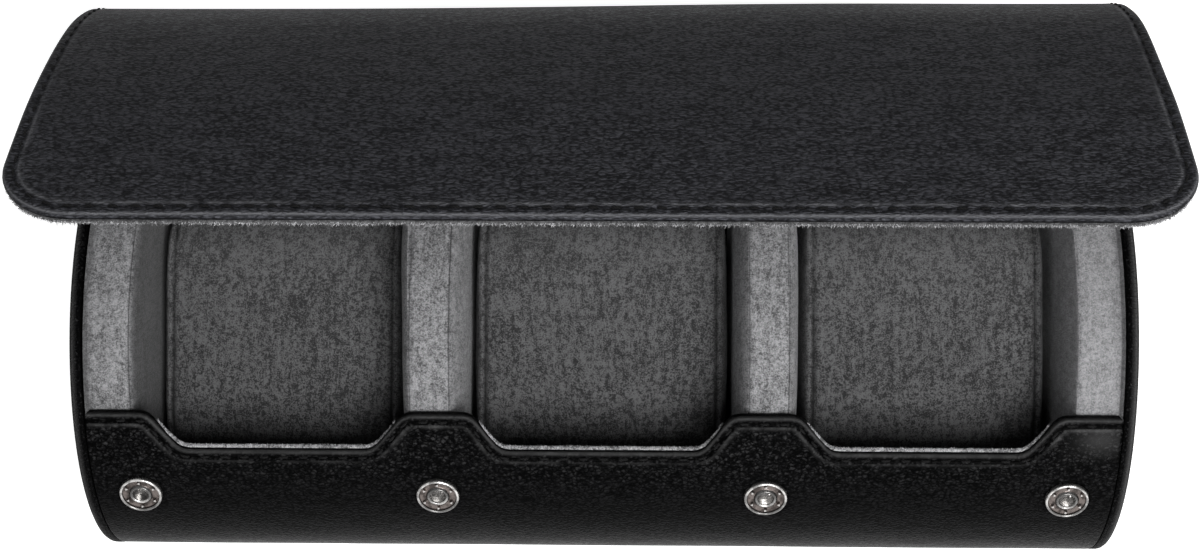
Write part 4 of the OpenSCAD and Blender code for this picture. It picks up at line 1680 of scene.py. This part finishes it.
class ROLL_OT_snaps(bpy.types.Operator):
    """Makes the nickel snap sockets on the front wall"""

    bl_idname = "roll.snaps"
    bl_label = "Snaps"

    # the socket's section: the rim by its distance in from its side, the ring by its radius,
    # and how far each point lies below the top
    rim = (
        (0.02, 0.7), (0.1, 0.3), (0.26, 0.07), (0.45, 0.0), (0.64, 0.08), (0.76, 0.3), (0.84, 0.6),
        (1.1, 0.72),
    )
    ring = (
        (2.9, 0.72), (RING_R, 0.6), (2.6, 0.32), (2.48, 0.14), (2.3, 0.06), (2.05, 0.12),
        (1.9, 0.3), (MOUTH_R, 0.5), (2.3, 0.55),
    )

    def execute(self, context):
        socket = [(MOUTH_R, -1.1), (SNAP_R, -1.1), (SNAP_R, 0.15)]
        socket += [(SNAP_R - d, SNAP_RISE - low) for d, low in self.rim]
        socket += [(r, SNAP_RISE - low) for r, low in self.ring]
        socket += [(2.3, -0.9), (MOUTH_R, -0.9)]
        pieces = []
        for x in SNAP_X:
            body = spun(
                "socket", [(x + r, -(ROLL_R + h), AXIS_Z) for r, h in socket], (x, 0, AXIS_Z),
                (0, 1, 0), 64, 0.00001,
            )
            painted(body, ["polished_nickel", "shaded_nickel"])
            # the sunken ring and the mouth take the darkened copy: painted dark reflection and
            # painted shade
            for face in body.data.polygons:
                c = face.center / MM
                away = math.hypot(c.x - x, c.z - AXIS_Z)
                face.material_index = int(RING_R < away < SNAP_R - 0.8 or away < 1.75)
            pieces += [body, *self.tabs(x), *self.springs(x)]
        activate(pieces[0])
        for piece in pieces:
            piece.select_set(True)
        bpy.ops.object.join()
        joined = named("snap_socket_set")
        # painted shade and painted highlights on the sockets
        mark(joined, self.painted_glints_and_shade)
        hub = Vector((0, -ROLL_R - 0.3, AXIS_Z)) * MM
        joined.data.transform(
            Matrix.Translation(hub + Vector((0, 0, SNAP_UP * MM)))
            @ Matrix.Rotation(math.radians(-SNAP_TILT), 4, "X") @ Matrix.Translation(-hub)
        )
        shares = [face.material_index for face in joined.data.polygons]
        done(joined, "polished_nickel", "case", ["snap_sockets", "snap_springs"], 45.0)
        joined.data.materials.append(finish_of("shaded_nickel"))
        for face, share in zip(joined.data.polygons, shares):
            face.material_index = share
        return {"FINISHED"}

    def painted_glints_and_shade(self, p):
        """Painted shade below on the rim and above in the mouth, painted highlights on the tabs and
        the spring.
        """
        x = min(SNAP_X, key=lambda middle: abs(p.x - middle))
        up = p.z - AXIS_Z
        away = math.hypot(p.x - x, up)
        if away > SOCKET_D / 2 - 0.75:
            return -0.8 * smooth_step(0.3 - up / 6)
        if away > 3.0 and p.y < -ROLL_R - SOCKET_RISE + 0.6:
            return 0.4
        if away < 1.6:
            return 0.3
        return -0.95 * smooth_step(0.75 + up / 4) if away < 2.8 else 0.0

    def tabs(self, x):
        """Six pressed triangular tabs in the ring."""
        for k in range(6):
            bpy.ops.mesh.primitive_cone_add(
                vertices=3, radius1=0.55 * MM, radius2=0.42 * MM, depth=0.5 * MM,
                rotation=(math.radians(90), 0, 0), location=(0, 0, 0),
            )
            tab = named("tab")
            place_applied(tab)
            a = math.radians(60 * k + 30)
            across, up = TAB_R * math.cos(a), TAB_R * math.sin(a)
            place = Vector((x + across, -(ROLL_R + SOCKET_RISE - 0.52), AXIS_Z + up)) * MM
            tab.data.transform(Matrix.Rotation(-a, 4, "Y"))
            tab.data.transform(Matrix.Translation(place))
            yield tab

    def springs(self, x):
        """The two rounded ends of the spring that show in the mouth."""
        for dx, dz in ((-0.8, 0.6), (0.95, 0.1)):
            bpy.ops.mesh.primitive_uv_sphere_add(
                segments=20, ring_count=12, radius=0.5 * MM,
                location=((x + dx) * MM, -(ROLL_R - 0.85) * MM, (AXIS_Z + dz) * MM),
            )
            wire = named("wire")
            place_applied(wire)
            yield wire


KEPT_FINISHES = (
    ("pulp_board", ("wrap_board", "end_board", "divider_core", "flap_board")),
    ("cut_foam", ("cushion_core",)), ("polished_nickel", ("snap",)),
    ("cap_leather", ("hinge_roll",)), ("deep_nap", ("",)),
)


class ROLL_OT_kept(bpy.types.Operator):
    """Paints the parts of the frame that keep their own shape"""

    bl_idname = "roll.kept"
    bl_label = "Boards, foam and studs"

    def execute(self, context):
        for name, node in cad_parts.items():
            painted(node, [next(
                kind for kind, starts in KEPT_FINISHES if name.startswith(starts)
            )])
        return {"FINISHED"}


# ---------------------------------------------------------------- stage


# the camera's place in millimetres, its turn in degrees, its lens and sensor in millimetres,
# and the width and the shift of its image in pixels
CAMERA_PLACE = (10.148, -410.132, 480.341)
CAMERA_TURN = (45.2099, 0.9140, 1.2582)
LENS, SENSOR_W = 69.65, 36.0
IMAGE_W = 1200
SHIFT_X, SHIFT_Y = 17.5, -6.2
BELOW_BASE = 0.0002


def added(name, data, place):
    obj = bpy.data.objects.new(name, data)
    bpy.context.scene.collection.objects.link(obj)
    obj.location = place
    return obj


class ROLL_OT_stage(bpy.types.Operator):
    """Sets the pale floor, the lamps and the camera"""

    bl_idname = "roll.stage"
    bl_label = "Stage"

    def execute(self, context):
        self.floor()
        self.world(context)
        self.lamp("key", (0.17, -0.62, 0.42), target=(0.03, 0, 0.08), power=9.0, size=0.35)
        self.lamp("fill", (-0.95, -0.8, 0.8), target=(0, 0, 0.06), power=1.0, size=0.8)
        data = bpy.data.cameras.new("camera")
        data.sensor_width, data.lens = SENSOR_W, LENS
        data.shift_x, data.shift_y = SHIFT_X / IMAGE_W, SHIFT_Y / IMAGE_W
        data.clip_start, data.clip_end = 0.01, 50
        camera = added("camera", data, Vector(CAMERA_PLACE) * MM)
        camera.rotation_euler = Euler([math.radians(a) for a in CAMERA_TURN], "XYZ")
        context.scene.camera = camera
        context.scene.view_settings.view_transform = "Standard"
        return {"FINISHED"}

    def floor(self):
        bpy.ops.mesh.primitive_plane_add(size=8, location=(0, 0, -BELOW_BASE))
        floor = named("studio_floor")
        material = bpy.data.materials.new("studio_floor")
        paint = Paint(material)
        seen, shiny, clear = [
            paint.node("ShaderNodeLightPath", output="Is %s Ray" % kind)
            for kind in ("Camera", "Glossy", "Transmission")
        ]
        paint.set(
            Base_Color=(0.8, 0.8, 0.8), Roughness=0.9, Emission_Color=(1.0, 1.0, 1.0),
            Emission_Strength=(seen + shiny + clear).clamp() * 0.86,
        )
        floor.data.materials.append(material)

    def world(self, context):
        context.scene.world = bpy.data.worlds.new("studio")
        paint = Paint(context.scene.world)
        seen, shiny = [
            paint.node("ShaderNodeLightPath", output="Is %s Ray" % kind)
            for kind in ("Camera", "Glossy")
        ]
        levels = {"Value": seen.greater(shiny), "To Min": 0.16, "To Max": 1.0}
        paint.set(
            Color=(1, 1, 1), Strength=paint.node("ShaderNodeMapRange", {}, levels, "Result")
        )

    def lamp(self, name, place, target, power, size):
        data = bpy.data.lights.new(name, "AREA")
        data.shape = "RECTANGLE"
        data.size = data.size_y = size
        data.energy = power
        lamp = added(name, data, place)
        lamp.rotation_euler = (Vector(target) - Vector(place)).to_track_quat("-Z", "Y").to_euler()


# ---------------------------------------------------------------- add-on

GROUPS = {
    "roll_leather": ROLL_leather,
    "roll_stitching": ROLL_stitching,
    "roll_suede": ROLL_suede,
    "roll_cushions": ROLL_cushions,
    "roll_metal": ROLL_metal,
}
OPERATORS = [
    ROLL_OT_stage, ROLL_OT_wrap, ROLL_OT_wrap_lining, ROLL_OT_end_caps, ROLL_OT_dividers,
    ROLL_OT_floor, ROLL_OT_cushions, ROLL_OT_snaps, ROLL_OT_flap, ROLL_OT_flap_lining, ROLL_OT_kept,
]


class ROLL_PT_panel(bpy.types.Panel):
    """Lists the roll's pieces and their settings"""

    bl_label = "Watch Roll"
    bl_idname = "ROLL_PT_panel"
    bl_space_type = "VIEW_3D"
    bl_region_type = "UI"
    bl_category = "Watch Roll"

    def draw(self, context):
        for key, group in GROUPS.items():
            box = self.layout.box()
            box.label(text=key.replace("roll_", "").capitalize())
            for field in group.__annotations__:
                box.prop(getattr(context.scene, key), field)
        for operator in OPERATORS:
            self.layout.operator(operator.bl_idname)


def register():
    for key, group in GROUPS.items():
        bpy.utils.register_class(group)
        setattr(bpy.types.Scene, key, PointerProperty(type=group))
    for operator in OPERATORS:
        bpy.utils.register_class(operator)
    bpy.utils.register_class(ROLL_PT_panel)


def unregister():
    bpy.utils.unregister_class(ROLL_PT_panel)
    for operator in reversed(OPERATORS):
        bpy.utils.unregister_class(operator)
    for key, group in GROUPS.items():
        delattr(bpy.types.Scene, key)
        bpy.utils.unregister_class(group)


def main():
    register()
    for operator in OPERATORS:
        group, name = operator.bl_idname.split(".")
        getattr(getattr(bpy.ops, group), name)()


if __name__ == "__main__":
    main()
